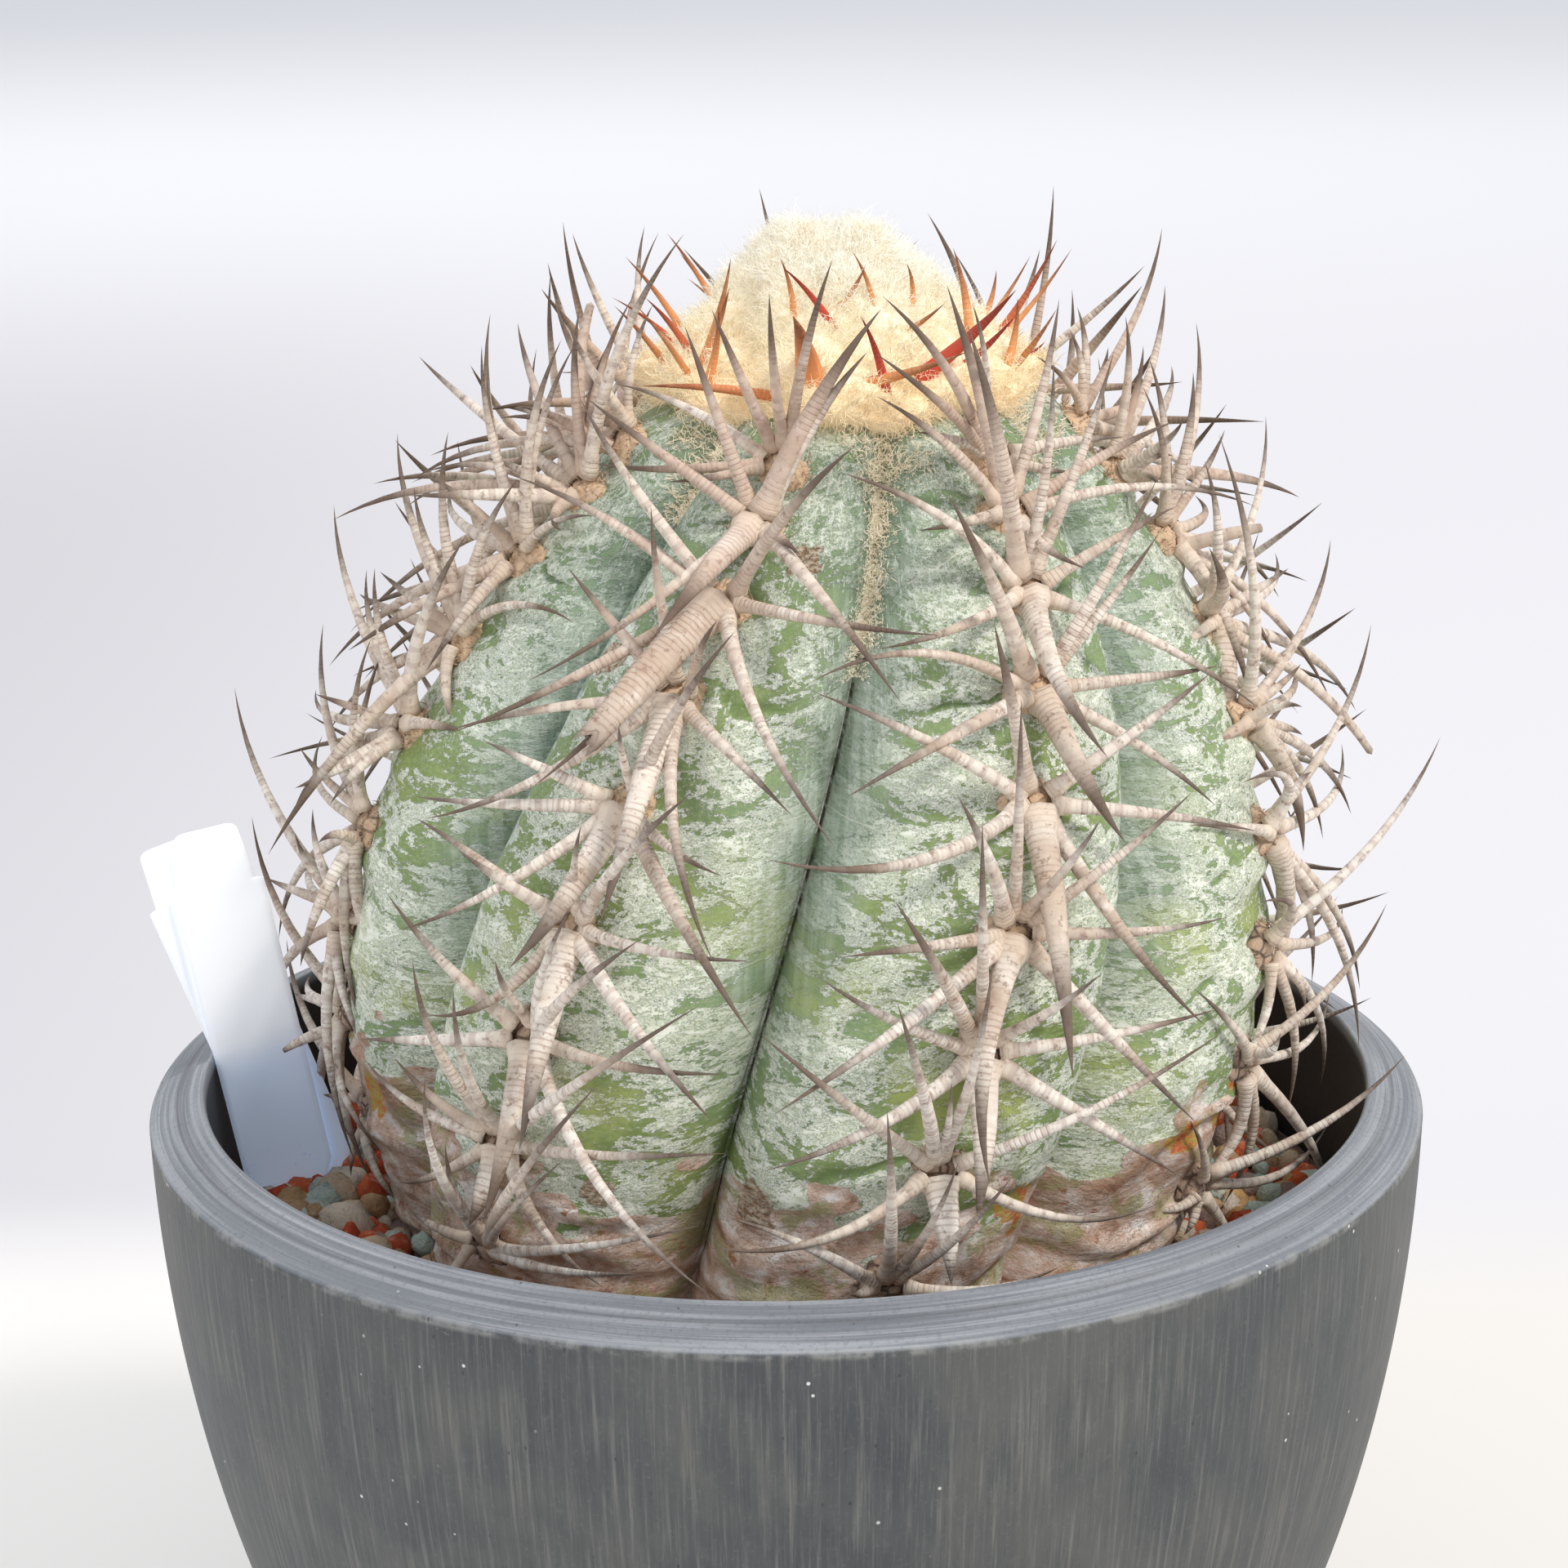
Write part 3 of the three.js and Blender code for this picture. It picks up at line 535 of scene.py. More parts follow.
def makeStem():
    # the skin's formula on a grid, grown by lumps, chins and wrinkles and cut by creases
    p = skinDetail
    u = np.linspace(-1, 1, p["around"], endpoint=False)
    across = np.tile(np.sign(u) * (1 - (1 - np.abs(u)) ** p["crowding"]), stem["ribs"])
    rib = np.repeat(np.arange(stem["ribs"]), p["around"])
    (footRows, rows), (start, middle, end) = p["rows"], p["shares"]
    t = np.concatenate([np.linspace(start, middle, footRows), np.linspace(middle, end, rows)[1:]])
    height, crest = crestAt(t).T
    steps = np.hypot(np.diff(height, prepend=height[0]), np.diff(crest, prepend=crest[0]))
    climb, height, crest = np.cumsum(steps)[:, None], height[:, None], crest[:, None]
    bearing = bearingAt(rib, across, height)
    girth = bearing * p["perRadian"]
    wide = np.abs(across)
    lumps = waves(*p["lumpWaves"], girth, climb, 20 * np.cos(bearing))
    fine = waves(*p["fineWaves"], girth, climb)
    # creases start just over each cushion and run down and out across both flanks, some strong, some faint
    share = cushionShare(height)
    half, offset, fall, wander = p["crease"]
    shift = share - offset + fall * wide + wander * waves(*p["creaseWaves"], girth, climb)
    strong = smoothStep(0.15, 0.9, waves(*p["strengthWaves"], girth, climb, rib * 31.0) * 0.55 + 0.45)
    body = (height > p["body"][0]) * (height < p["body"][1])
    crease = np.exp(-((shift - np.round(shift)) / half) ** 2) * body * strong
    crease = crease * smoothStep(0.85, 0.45, wide)
    chin = np.maximum(np.cos(fullTurn * (share + 0.30)), 0) ** 2 * np.exp(-(across / 0.3) ** 2) * body
    cork = corkShare(bearing, height, waves(*p["corkWaves"], girth, climb))
    wrinkle = np.sin(height * 0.62 + 2.6 * waves(*p["wrinkleWaves"], girth, climb)) * cork
    grow = (p["lumps"] * lumps * (1 - across ** 2) - p["creaseDepth"] * crease
            + p["chin"] * chin + p["wrinkles"] * wrinkle + p["corkFine"] * fine * cork)
    grow = grow * smoothStep(0, 12, crest) * smoothStep(-30, -15, height)
    points = skinPoint(rib, across, height, crest, grow)
    spots = {"scars": 0, "rust": 0}
    for kind in spots:
        for *spot, size in p[kind]:
            away = np.linalg.norm(points - skinPoint(*spot), axis=-1) / size
            mark = 1 - smoothStep(0.5, 1.1, away + 0.25 * waves(*p["spotWaves"], girth, climb))
            spots[kind] = np.maximum(spots[kind], mark)
    ends = [[*axisAt(level), rimHeight + level] for level in (taprootEnd, crownHeight)]
    shape = height.shape[0], len(rib)
    return Heap().put(
        *shutRows(points, *ends), across=withEnds(across, shape), crease=withEnds(crease, shape),
        height=withEnds(height, shape, taprootEnd, crownHeight), girth=withEnds(girth, shape),
        climb=withEnds(climb, shape, 0, climb[-1, 0]), cork=withEnds(cork, shape, 1),
        scar=withEnds(spots["scars"], shape), rust=withEnds(spots["rust"], shape))


skinPaints = {
    "green": (124, 142, 80), "coolGreen": (126, 148, 104), "paleGreen": (162, 178, 126),
    "deepGreen": (88, 112, 64), "film": (154, 168, 134), "filmLight": (200, 207, 184),
    "filmGreen": (112, 132, 88), "filmWhite": (222, 228, 214), "crust": (204, 210, 188),
    "crustWhite": (240, 242, 230), "rimWhite": (240, 243, 236), "sleek": (130, 150, 132),
    "sleekPale": (198, 208, 200), "furrow": (122, 146, 142), "shoulder": (116, 138, 108),
    "dash": (222, 229, 220), "yellow": (174, 184, 108), "crease": (98, 120, 66), "crack": (222, 222, 208),
    "corkDark": (150, 112, 92), "cork": (204, 172, 152), "corkLight": (226, 204, 190),
    "corkWhite": (248, 240, 234), "moss": (164, 166, 112), "corkRust": (178, 106, 60),
    "corkBrown": (150, 108, 78), "pit": (120, 88, 70), "rust": (190, 70, 30), "orange": (214, 120, 50),
    "olive": (180, 164, 60), "tan": (206, 150, 90), "scar": (150, 112, 82), "scarPale": (222, 206, 184),
    "seam": (62, 56, 42),
}


def stemSkin():
    r = Recipe("stemSkin", skinPaints)
    furrow, height = r.own("across").math("ABSOLUTE"), r.own("height")
    crease, cork, scar, rust = (r.own(k) for k in ("crease", "cork", "scar", "rust"))
    # coordinates in millimetres along the skin
    skin = r.joined(r.own("girth"), r.own("climb"), 0.0)
    broad = r.noise(skin, 0.035, 3.0, 0.55)
    patch = r.noise(skin, (0.10, 0.17, 1), 8.0, 0.70, 0.9)
    scrape = r.noise(skin, (0.34, 0.60, 1), 6.0, 0.72, 0.8)
    grain = r.noise(skin, (1.2, 1.9, 1), 4.0, 0.7, 0.4)
    tiny = r.noise(skin, 4.2, 2.0, 0.65)
    smooth = r.between(furrow, 0.62, 0.92) * r.between(height, 12, 36)  # the sleek strip beside a furrow
    # bare green below 0.458, a film of bloom over that, then crust; it is whitest round the bare places
    crust = patch + (scrape - 0.5) * 0.55 + (grain - 0.5) * 0.28 + (broad - 0.5) * 0.3 + 0.005
    crust = crust - 0.10 * r.between(crease, 0.25, 0.6)
    bare = r.coats("green", (r.between(broad, 0.38, 0.62), "coolGreen"),
                   (r.between(grain, 0.42, 0.62) * 0.5, "paleGreen"),
                   (r.between(tiny, 0.54, 0.70) * 0.55, "deepGreen"))
    film = r.coats("film", (r.between(grain, 0.38, 0.60), "filmLight"),
                   (r.between(tiny, 0.50, 0.62) * 0.7, "filmGreen"),
                   (r.between(tiny, 0.44, 0.36) * 0.5, "filmWhite"))
    thick = r.coats("crust", (r.between(scrape, 0.42, 0.60), "crustWhite"))
    cover = r.between(crust, 0.458, 0.482)
    flecks = r.between(crust + (tiny - 0.5) * 0.75 + (grain - 0.5) * 0.55, 0.535, 0.56)
    rimWhite = r.between(crust, 0.455, 0.475) * r.between(crust, 0.55, 0.50) * r.between(tiny, 0.44, 0.51)
    sleek = r.between(r.noise(skin, (0.9, 0.05, 1), 4.0, 0.6), 0.40, 0.62)
    dash = r.noise(skin, (1.5, 0.45, 1), 3.0, 0.7, 0.6) + 0.3 * (patch - 0.5)
    yellow = r.between(r.noise(skin, 0.055, 4.0, 0.6), 0.50, 0.64) * r.between(height, 60, 12)
    crack = r.cells(r.scaled(skin, (0.045, 0.10, 1)), 1.0, "DISTANCE_TO_EDGE")
    colour = r.coats(
        bare,
        (cover * 0.9, film),
        (flecks * (0.9 - 0.35 * smooth), thick),
        (rimWhite * (0.95 - 0.5 * smooth), "rimWhite"),
        (smooth * (0.5 + 0.35 * r.between(patch, 0.5, 0.35)), r.coats("sleek", (sleek, "sleekPale"))),
        # the bluish grey that grows towards the furrows is painted shade in them
        (r.between(furrow, 0.1, 0.95) * r.between(height, 0, 60) * 0.2, "furrow"),
        (r.between(height, 56, 78) * (0.5 - 0.25 * flecks), "shoulder"),
        (r.between(dash, 0.58, 0.64) * r.between(height, 40, 60) * 0.65, "dash"),
        (yellow * (1.0 - 0.7 * flecks) * 0.7, "yellow"),
        # the deep green down the creases is painted shade in them
        (r.between(crease + 0.25 * (grain - 0.5), 0.45, 0.85) * 0.6, "crease"),
        (r.between(crack, 0.012, 0.004) * r.between(r.noise(skin, 0.07), 0.55, 0.62) * 0.6, "crack"))
    # the corky foot, orange patches, scars and the dark line down each furrow
    corkGrain = r.noise(skin, (0.26, 0.34, 1), 6.0, 0.68, 0.4)
    corkColour = r.coats(
        r.ramp(corkGrain, [(0.32, "corkDark"), (0.43, "cork"), (0.53, "corkLight"), (0.62, "corkWhite")]),
        (r.between(r.noise(skin, 0.12, 4.0, 0.65), 0.52, 0.58) * 0.65, "moss"),
        (r.between(r.noise(skin, 0.30, 4.0, 0.65), 0.62, 0.68) * 0.8, "corkRust"),
        (r.between(broad, 0.52, 0.62) * 0.45, "corkBrown"),
        (r.between(tiny, 0.56, 0.68) * 0.5, "pit"))
    corkMask = r.between(cork + 0.8 * (corkGrain - 0.5) + 0.3 * (grain - 0.5), 0.44, 0.56)
    rustColour = r.ramp(scrape, [(0.36, "rust"), (0.46, "orange"), (0.54, "olive"), (0.64, "tan")])
    scarRing = r.between(scar, 0.2, 0.5)
    seam = r.between(furrow + 0.012 * (grain - 0.5), 0.976, 0.990) * r.between(height, 82, 62)
    colour = r.coats(
        colour,
        (corkMask, corkColour),
        (r.between(rust + 0.8 * (grain - 0.5) * rust, 0.35, 0.65) * 0.85, rustColour),
        (scarRing * 0.9, r.coats("scar", (r.between(grain, 0.4, 0.6), "scarPale"))),
        (seam * r.between(height, -14, -6) * r.between(scrape, 0.30, 0.55), "seam"))
    relief = cover * 0.3 + grain * 0.3 + flecks * 0.4 + corkMask * (corkGrain + grain) * 0.35
    relief = relief + scarRing * grain * 2.0
    return r.finish(colour, 0.66 + 0.14 * cover - 0.16 * smooth, r.bump(relief, 0.30), specular=0.35,
                    subsurface=0.06, scatter=0.003, radius=(0.6, 1.0, 0.35))


makeStem().piece("roundStem", [stemSkin()], "stem_skin", ["cactus_stem"])

print("stage: spines")
spineForm = {
    "sides": 8,
    # where the rings stand along a spine; the last is the tip
    "rings": np.array([0, 0.035, 0.09, 0.17, 0.27, 0.38, 0.5, 0.62, 0.73, 0.83, 0.91, 0.975, 1.0]),
    "rootLift": 1.3,  # height of a root over the skin
    "spread": 2.1,  # how far roots stand from the middle of a cushion
    "slim": 0.84,  # how thick thin spines are, beside their width
    "heavyFrom": 1.4,  # the width at which a spine starts to count as a heavy one
    "taper": 1.6,
    "bulb": 0.45,
    "flatness": 0.85,  # thickness as a share of the width
    "arch": 0.11,  # how far a spine rises over the straight line to its tip, as a share of its length
    # what is drawn at random for each plain spine: degrees, degrees, and shares
    "turn": (-11, 11),
    "tilt": (-5, 6),
    "size": (0.82, 1.14),
    "bow": (-0.4, 1.6),
    "width": (0.88, 1.1),
    "crownLift": 12,  # degrees that the youngest spines stand up more
    "crownSize": 0.85,
    "hiddenClock": (20, 170),  # clock angles of the side ribs' spines that the picture doesn't show
    "tornBelow": 0.58,  # a spine cut shorter than this share ends torn
    "torn": [1.9, 0.3, 1.2, -0.6, 0.9, 2.6, 0.1, 1.4],  # how far each point round a torn end stands out
    "tornHollow": 2.4,
}
# Spines as read off the picture, for each rib and each of its cushions from the foot, 0, to the crown, 8: x
# and y of the tip in the picture's pixels, its depth, the sideways bow, width and arch over the usual ones,
# and the share of its length that a broken spine has kept. The depth is mm over the skin on the two front
# ribs and mm to the front of the cushion on the two at the sides; the bow is in mm.
readSpines = {
    0: {
        8: [(727, 567, 3, 2, 0.9), (752, 470, 5, -1, 0.95), (871, 378, 16, 0, 0.95), (936, 613, 4, 1, 0.75),
            (1020, 316, 20, 0, 1.05), (942, 358, 22), (818, 590, 4, 1, 0.85)],
        7: [(718, 487, 9, 1), (1080, 377, 16, 0, 1.6), (1063, 430, 13, 0, 1.4), (981, 681, 5),
            (642, 836, 3, 4, 0.95), (1105, 863, 4, 0, 1.15), (838, 398, 18, 0, 1.05), (800, 780, 9, 1, 1.8)],
        6: [(709, 485, 14, 1, 1.05), (628, 583, 8, -1, 1.05), (551, 898, 4, 3, 1.05), (1152, 778, 5, -2),
            (1023, 1039, 4, -2, 1.25), (1047, 546, 22, 0, 1.25), (722, 905, 8, 1, 2.4, 1, 0.55),
            (652, 964, 6, 3, 1.2)],
        5: [(797, 619, 17), (696, 696, 10, 0, 1.05), (550, 894, 4), (518, 1003, 4, 4, 1.15),
            (971, 1000, 4, 0, 1.05), (878, 760, 16, 0, 0.95), (875, 1182, 6, -2, 1.15),
            (735, 1130, 7, 1, 1.9)],
        4: [(901, 772, 18, 0, 1.1), (508, 975, 5, 1, 1.05), (487, 1139, 4, 3, 1.1), (885, 1073, 6, -1),
            (923, 1273, 5, 0, 1.35), (758, 888, 14, 0, 0.9), (623, 1186, 8, 2, 1.9), (590, 906, 10)],
        3: [(848, 970, 18, 0, 1.1), (508, 1001, 4, -1), (520, 1242, 4, 4, 1.1), (921, 1177, 5, -1),
            (875, 1376, 5, 0, 1.35), (560, 1040, 15, 0, 1.2), (636, 1408, 7, 1, 2.0),
            (712, 1010, 12, 0, 0.85)],
        2: [(783, 1151, 18, 0, 1.1), (474, 1094, 5, 0, 1.1), (440, 1272, 3, 0, 1.15),
            (891, 1315, 4, -1, 1.1), (868, 1585, 8, -2, 1.3), (606, 1176, 12), (590, 1500, 9, 2, 1.8),
            (700, 1110, 14, 0, 0.85)],
        1: [(858, 1230, 16, 0, 1.05), (505, 1174, 12, 1, 1.25), (483, 1295, 4, 0, 1.05),
            (446, 1296, 3, 1, 1.1), (891, 1412, 4, 0, 1.05), (555, 1212, 16, 0, 1.05),
            (738, 1576, 5, -1, 1.2), (573, 1502, 7, 1, 1.8), (488, 1448, 3, 1, 1.05)],
        0: [(735, 1325, 16, 0, 1.1), (521, 1315, 14, 1, 1.1), (500, 1480, 4), (860, 1500, 4), (545, 1400, 8),
            (690, 1420, 12), (526, 1535, 6, 4, 1.0, 2.0), (790, 1560, 5)],
    },
    1: {
        8: [(1071, 432, 12, 1), (1080, 362, 18, 0, 1.1), (1120, 529, 3, 0, 0.9), (1376, 536, 3, 0, 1.05),
            (1309, 577, 4, -1), (1190, 370, 20, 0, 0.9)],
        7: [(1073, 485, 8, 0, 1.05), (1159, 348, 18, 1, 1.35), (1124, 650, 3, 1), (1331, 697, 7, -3, 1.15),
            (1537, 620, 5, 2, 1.05), (1440, 515, 8, 0, 1.05), (1297, 365, 14)],
        6: [(1029, 579, 7, -1, 1.15), (1184, 395, 24, 1, 1.5), (1290, 440, 20), (1364, 430, 18, 0, 1.05),
            (1440, 620, 8), (1074, 795, 4, 2, 1.1), (1356, 927, 8, -4, 1.8), (1545, 870, 4, 0, 1.05)],
        5: [(1161, 604, 16, 1, 1.4), (1416, 588, 15, 0, 1.1), (991, 837, 4, -4, 1.05),
            (1034, 978, 4, 0, 1.2), (1493, 815, 4, -1), (1378, 1032, 7, -2, 1.75), (1490, 988, 4, 0, 1.1),
            (1418, 655, 11, 0, 0.95)],
        4: [(1217, 762, 16, 1, 1.3), (1485, 822, 9, 0, 1.05), (993, 846, 5, 0, 1.15),
            (938, 1052, 5, 5, 1.35), (1540, 1018, 4, 0, 1.1), (1314, 1321, 6, -1, 1.9),
            (1478, 1258, 4, -3, 1.25)],
        3: [(1172, 973, 15, 0, 1.3), (1251, 855, 14, 1, 0.95), (1348, 1003, 15, 0, 0.95),
            (1462, 968, 8, 0, 0.95), (1031, 1172, 4, 0, 1.05), (946, 1366, 4, 0, 1.3),
            (1502, 1123, 4, -1, 1.05), (1212, 1450, 7, -4, 1.85), (1465, 1375, 4, -1, 1.2)],
        2: [(1095, 1102, 15, 0, 1.25), (1203, 1003, 14, 1), (1349, 1192, 14, 0, 0.95),
            (1003, 1197, 5, 1, 1.1), (936, 1434, 4, 1, 1.3), (1490, 1236, 4), (1196, 1500, 8, 0, 2.0),
            (1448, 1442, 4, 0, 1.2)],
        1: [(1098, 1226, 15, 0, 1.15), (1216, 1178, 14), (1165, 1324, 9, 0, 0.8), (870, 1528, 4, 3, 1.2),
            (1500, 1262, 5, 0, 0.95), (1165, 1574, 8, 0, 2.0), (1410, 1478, 4, -3, 1.15), (928, 1264, 8)],
        0: [(1086, 1358, 14, 0, 1.15), (890, 1490, 6, -2, 1.05), (1040, 1585, 5, 0, 1.1),
            (1300, 1550, 4, -1, 1.05), (1240, 1440, 12), (1175, 1420, 12, 0, 0.9)],
    },
    2: {
        8: [(1310, 404, -2, 0, 0.95), (1319, 376, -6, 1, 0.95), (1357, 425, -6, 0, 0.85),
            (1268, 436, 6, 0, 0.9)],
        7: [(1378, 387, 0, 0, 1.05), (1400, 423, -4), (1436, 558, 6, -1, 1.3), (1449, 513, 10, 1),
            (1420, 596, 12)],
        6: [(1461, 455, -2, 1, 1.15), (1407, 438, -6, 2), (1630, 858, -4, 0, 1.1), (1568, 823, 4, 1, 1.05),
            (1546, 646, 2, -1, 1.2, 1, 0.6), (1534, 868, 8, -2, 1.4), (1399, 473, 4, 1.5, 0.9),
            (1500, 526, -8, 0, 0.9)],
        5: [(1480, 670, 6, 3, 1.5, 1.5), (1680, 924, -2, 0, 1.15, 1, 0.6), (1481, 1016, 8, -2, 1.8),
            (1475, 564, 2, 2, 1.1), (1578, 696, -6), (1410, 812, 12)],
        4: [(1492, 530, 3, 4, 1.1), (1595, 866, 6, -1, 1.1), (1596, 1043, 5, 3, 1.7),
            (1595, 900, -6, 0, 0.95), (1620, 1028, -3, 3, 1.05), (1593, 813, -5, 0, 0.9),
            (1440, 930, 12, 0, 1.05)],
        3: [(1520, 959, 9, -4, 1.15, 4.0), (1606, 945, -3, 3, 1.1), (1664, 1283, 0, 3, 1.15),
            (1606, 1205, -2, 2, 1.05), (1399, 1347, 8, 9, 1.7, 2.2), (1455, 1010, 13)],
        2: [(1543, 1105, 8, -3, 1.1, 3.5), (1575, 1366, -2, 1, 1.15), (1598, 1240, 0, 2),
            (1500, 1330, 8, 2)],
        1: [(1568, 1264, 4, 2, 1.1, 2.0), (1412, 1478, 8, 6, 1.2, 1.6), (1498, 1475, 0, 3, 1.15),
            (1462, 1210, 10)],
        0: [(1457, 1371, 6, 0, 0.9), (1449, 1513, 3, 0, 1.1), (1395, 1480, 6, 1)],
    },
    6: {
        8: [(631, 497, 2, -1, 1.05), (612, 512, -4, -1, 1.05), (696, 398, 4, 0, 1.1),
            (800, 372, -4, 0, 0.95)],
        7: [(710, 376, 0, 0, 1.1), (724, 370, -8, 0, 1.25, 1, 0.6), (747, 417, -8, 0, 0.9),
            (776, 362, -8, 0, 0.95), (500, 607, 4, 3, 1.2), (688, 650, 10, -2, 1.15), (838, 286, 6, 0, 1.25),
            (518, 579, -6, -2), (597, 561, -2)],
        6: [(590, 422, 2, 1, 1.05), (597, 445, -8, 0, 0.9), (688, 415, 4, 0, 1.2), (704, 422, -2, 0, 1.1),
            (521, 823, 6, 3, 1.15), (426, 797, -2, 3, 1.15), (519, 581, -2, -1), (727, 632, 10, 1, 0.95)],
        5: [(635, 585, 4, 0, 1.2), (549, 528, 0, 0.5, 1.2), (507, 596, 0, 1), (704, 764, 14, 3, 1.1),
            (576, 917, 10, -2, 1.15), (328, 1047, 2, 4, 1.4), (465, 700, -6, 0, 0.95)],
        4: [(572, 654, 5, -1, 1.4), (459, 695, 0, 1, 1.1), (449, 697, -5, 2), (578, 897, 12, 0, 1.1),
            (361, 965, 2, 4, 1.3), (404, 985, 6, 2, 1.2), (386, 850, -5, 0, 0.9)],
        3: [(455, 780, 2, 1, 1.05), (472, 790, -3, 0, 0.95), (367, 915, -5, 0, 0.95), (368, 1184, 0, 5, 1.2),
            (499, 1249, 10, -3, 1.3), (389, 1033, 3, 4, 1.0, 1.6), (447, 1272, 5, -1, 1.3)],
        2: [(383, 990, 0, 0, 1.1), (361, 1020, -4, 1, 1.05), (326, 1075, -4, 0, 1.1),
            (419, 1129, 4, 2, 1.0, 1.6), (436, 1426, 4, 2, 1.2), (507, 1136, 8), (455, 1300, 8, 0, 1.1)],
        1: [(347, 1287, 2, 1, 1.1, 1, 0.75), (360, 1216, -8, 0, 0.95), (455, 1447, 4, 0, 1.2),
            (471, 1415, 8, 4, 1.05, 1.6), (445, 1170, 6)],
        0: [(501, 1485, 6, 3), (430, 1440, 2), (395, 1340, -4), (520, 1430, 8)],
    },
}
# the others: clock angle seen from outside, lift off the skin in degrees, length, sideways bow, width
plainSpines = [(-97, 11, 33, 2.0, 1.05), (94, 11, 33, -2.0, 1.05), (-50, 27, 32, 0.5, 1.05),
               (48, 28, 32, -0.5, 1.05), (4, 40, 30, 0.0, 1.0), (-141, 10, 33, -1.5, 1.15),
               (139, 10, 33, 1.5, 1.15), (180, 13, 36, 0.8, 1.7)]
facing = np.array([0.0, -1.0, 0.0])
hiddenSide = {2: 1, 6: -1}  # for each rib at the side, the clock side that the picture doesn't show


def tipOf(pixel, place, normal, depth):
    # where the eye's ray through a pixel meets the plane that lies `depth` from a place along the normal
    right, up, forward = axesOfView
    half, focal = viewpoint["picture"] / 2, viewpoint["focal"]
    ray = forward + (pixel[0] - half) / focal * right + (half - pixel[1]) / focal * up
    return eye + ray * (np.dot(place + normal * depth - eye, normal) / np.dot(ray, normal))


def curveOf(root, tip, near, far):
    # the four handles of a cubic curve, whose two middle ones stand off the straight line by near and far
    return np.array([root, root + (tip - root) * 0.33 + near, root + (tip - root) * 0.68 + far, tip])


def spineOf(place, out, tip, bow=0, width=1.0, arch=1.0, whole=1.0):
    # leaves its cushion to its own side and arches over the skin
    way = tip - place
    flat = unit(way - out * np.dot(way, out))
    root = place + out * spineForm["rootLift"] + flat * spineForm["spread"] * (0.6 if width > 1.5 else 1.0)
    aside = unit(np.cross(out, flat)) * bow
    rise = out * (spineForm["arch"] * arch * np.linalg.norm(way))
    return curveOf(root, tip, rise + aside, rise * 0.8 + aside * 1.15), width, whole


def rowSpines(rib):
    # what the picture shows of each cushion, and the plain rule for the rest
    place, up, side, out = frames[rib]
    draw = np.random.default_rng(100 + rib)
    found, ages = [], []
    last = len(cushionHeights) - 1
    near, far = spineForm["hiddenClock"]

    def seeded(name):
        return draw.uniform(*spineForm[name])

    for k in range(last + 1):
        seen = readSpines.get(rib, {}).get(k, [])
        for x, y, depth, *rest in seen:
            normal = facing if rib in hiddenSide else out[k]
            found.append(spineOf(place[k], out[k], tipOf((x, y), place[k], normal, depth), *rest))
        for clock, lift, length, bow, width in plainSpines:
            turn, tilt, size = seeded("turn"), seeded("tilt"), seeded("size")
            if seen and not (rib in hiddenSide and near < clock * hiddenSide[rib] < far):
                continue
            clock = math.radians(clock + turn)
            lift = math.radians(lift + tilt + (spineForm["crownLift"] if k > last - 2 else 0))
            level = up[k] * math.cos(clock) + side[k] * math.sin(clock)
            heading = level * math.cos(lift) + out[k] * math.sin(lift)
            tip = place[k] + heading * length * size * (spineForm["crownSize"] if k == last else 1.0)
            found.append(spineOf(place[k], out[k], tip, bow * seeded("bow"), width * seeded("width")))
        ages += [k / last] * (len(found) - len(ages))
    return found, ages


def putSpines(heap, found, fresh, slot, young=0.0):
    # each curve is sampled, then a ring at each sample narrows from a bulb at the root to the tip
    p, share, sides = spineForm, spineForm["rings"], spineForm["sides"]
    rest = 1 - share
    weights = np.stack([rest ** 3, 3 * share * rest ** 2, 3 * share ** 2 * rest, share ** 3], -1)
    lines = np.einsum("sk,nkd->nsd", weights, np.array([f[0] for f in found]))
    width, whole = (np.array([f[k] for f in found])[:, None] for k in (1, 2))
    draw = np.random.default_rng(len(found))
    fresh = np.array(fresh)[:, None]
    tone = fresh if young else draw.uniform(0, 1, (len(found), 1))
    bulb = p["bulb"] * np.exp(-(share / 0.06) ** 2)
    heavy = np.clip((width - p["heavyFrom"]) / 0.5, 0, 1)
    slim = p["slim"] + (1 - p["slim"]) * heavy
    radius = width * slim * (1 - (share * whole) ** p["taper"] + bulb * (1 - young))
    flats = radius * (p["flatness"] - 0.2 * heavy * (1 - np.exp(-share / 0.1)))
    run = np.cumsum(np.linalg.norm(np.diff(lines, axis=1, prepend=lines[:, :1]), axis=-1), axis=1)
    points = tubes(lines, radius, flats, sides)
    # a torn end: its last ring is jagged and its tip is sunk in
    for k in np.flatnonzero(whole[:, 0] < p["tornBelow"]):
        way = unit(lines[k, -1] - lines[k, -2])
        points[k, -1 - sides:-1] += way * np.array(p["torn"])[:, None]
        points[k, -1] -= way * p["tornHollow"]
    kept = {"run": run, "share": share * whole, "tone": tone, "heavy": heavy, "young": young, "fresh": fresh}
    kept = {k: perPoint(v, radius.shape, sides) for k, v in kept.items()}
    heap.put(points, tubeFaces(len(found), len(share), sides), slot, **kept)


hornPaints = {
    "warm": (230, 218, 205), "warmDark": (208, 192, 176), "grey": (236, 230, 222),
    "greyDark": (212, 200, 186), "stain": (184, 160, 138), "blotch": (170, 142, 124),
    "light": (246, 238, 230), "band": (186, 166, 156), "ring": (150, 116, 98), "fibre": (128, 100, 84),
    "rosy": (190, 156, 138), "felt": (224, 204, 182), "tip": (64, 50, 42), "tipLight": (108, 88, 74),
    "young": (232, 160, 104), "youngTip": (124, 74, 50), "red": (204, 82, 62), "redTip": (118, 44, 32),
    "youngPale": (240, 190, 140),
}


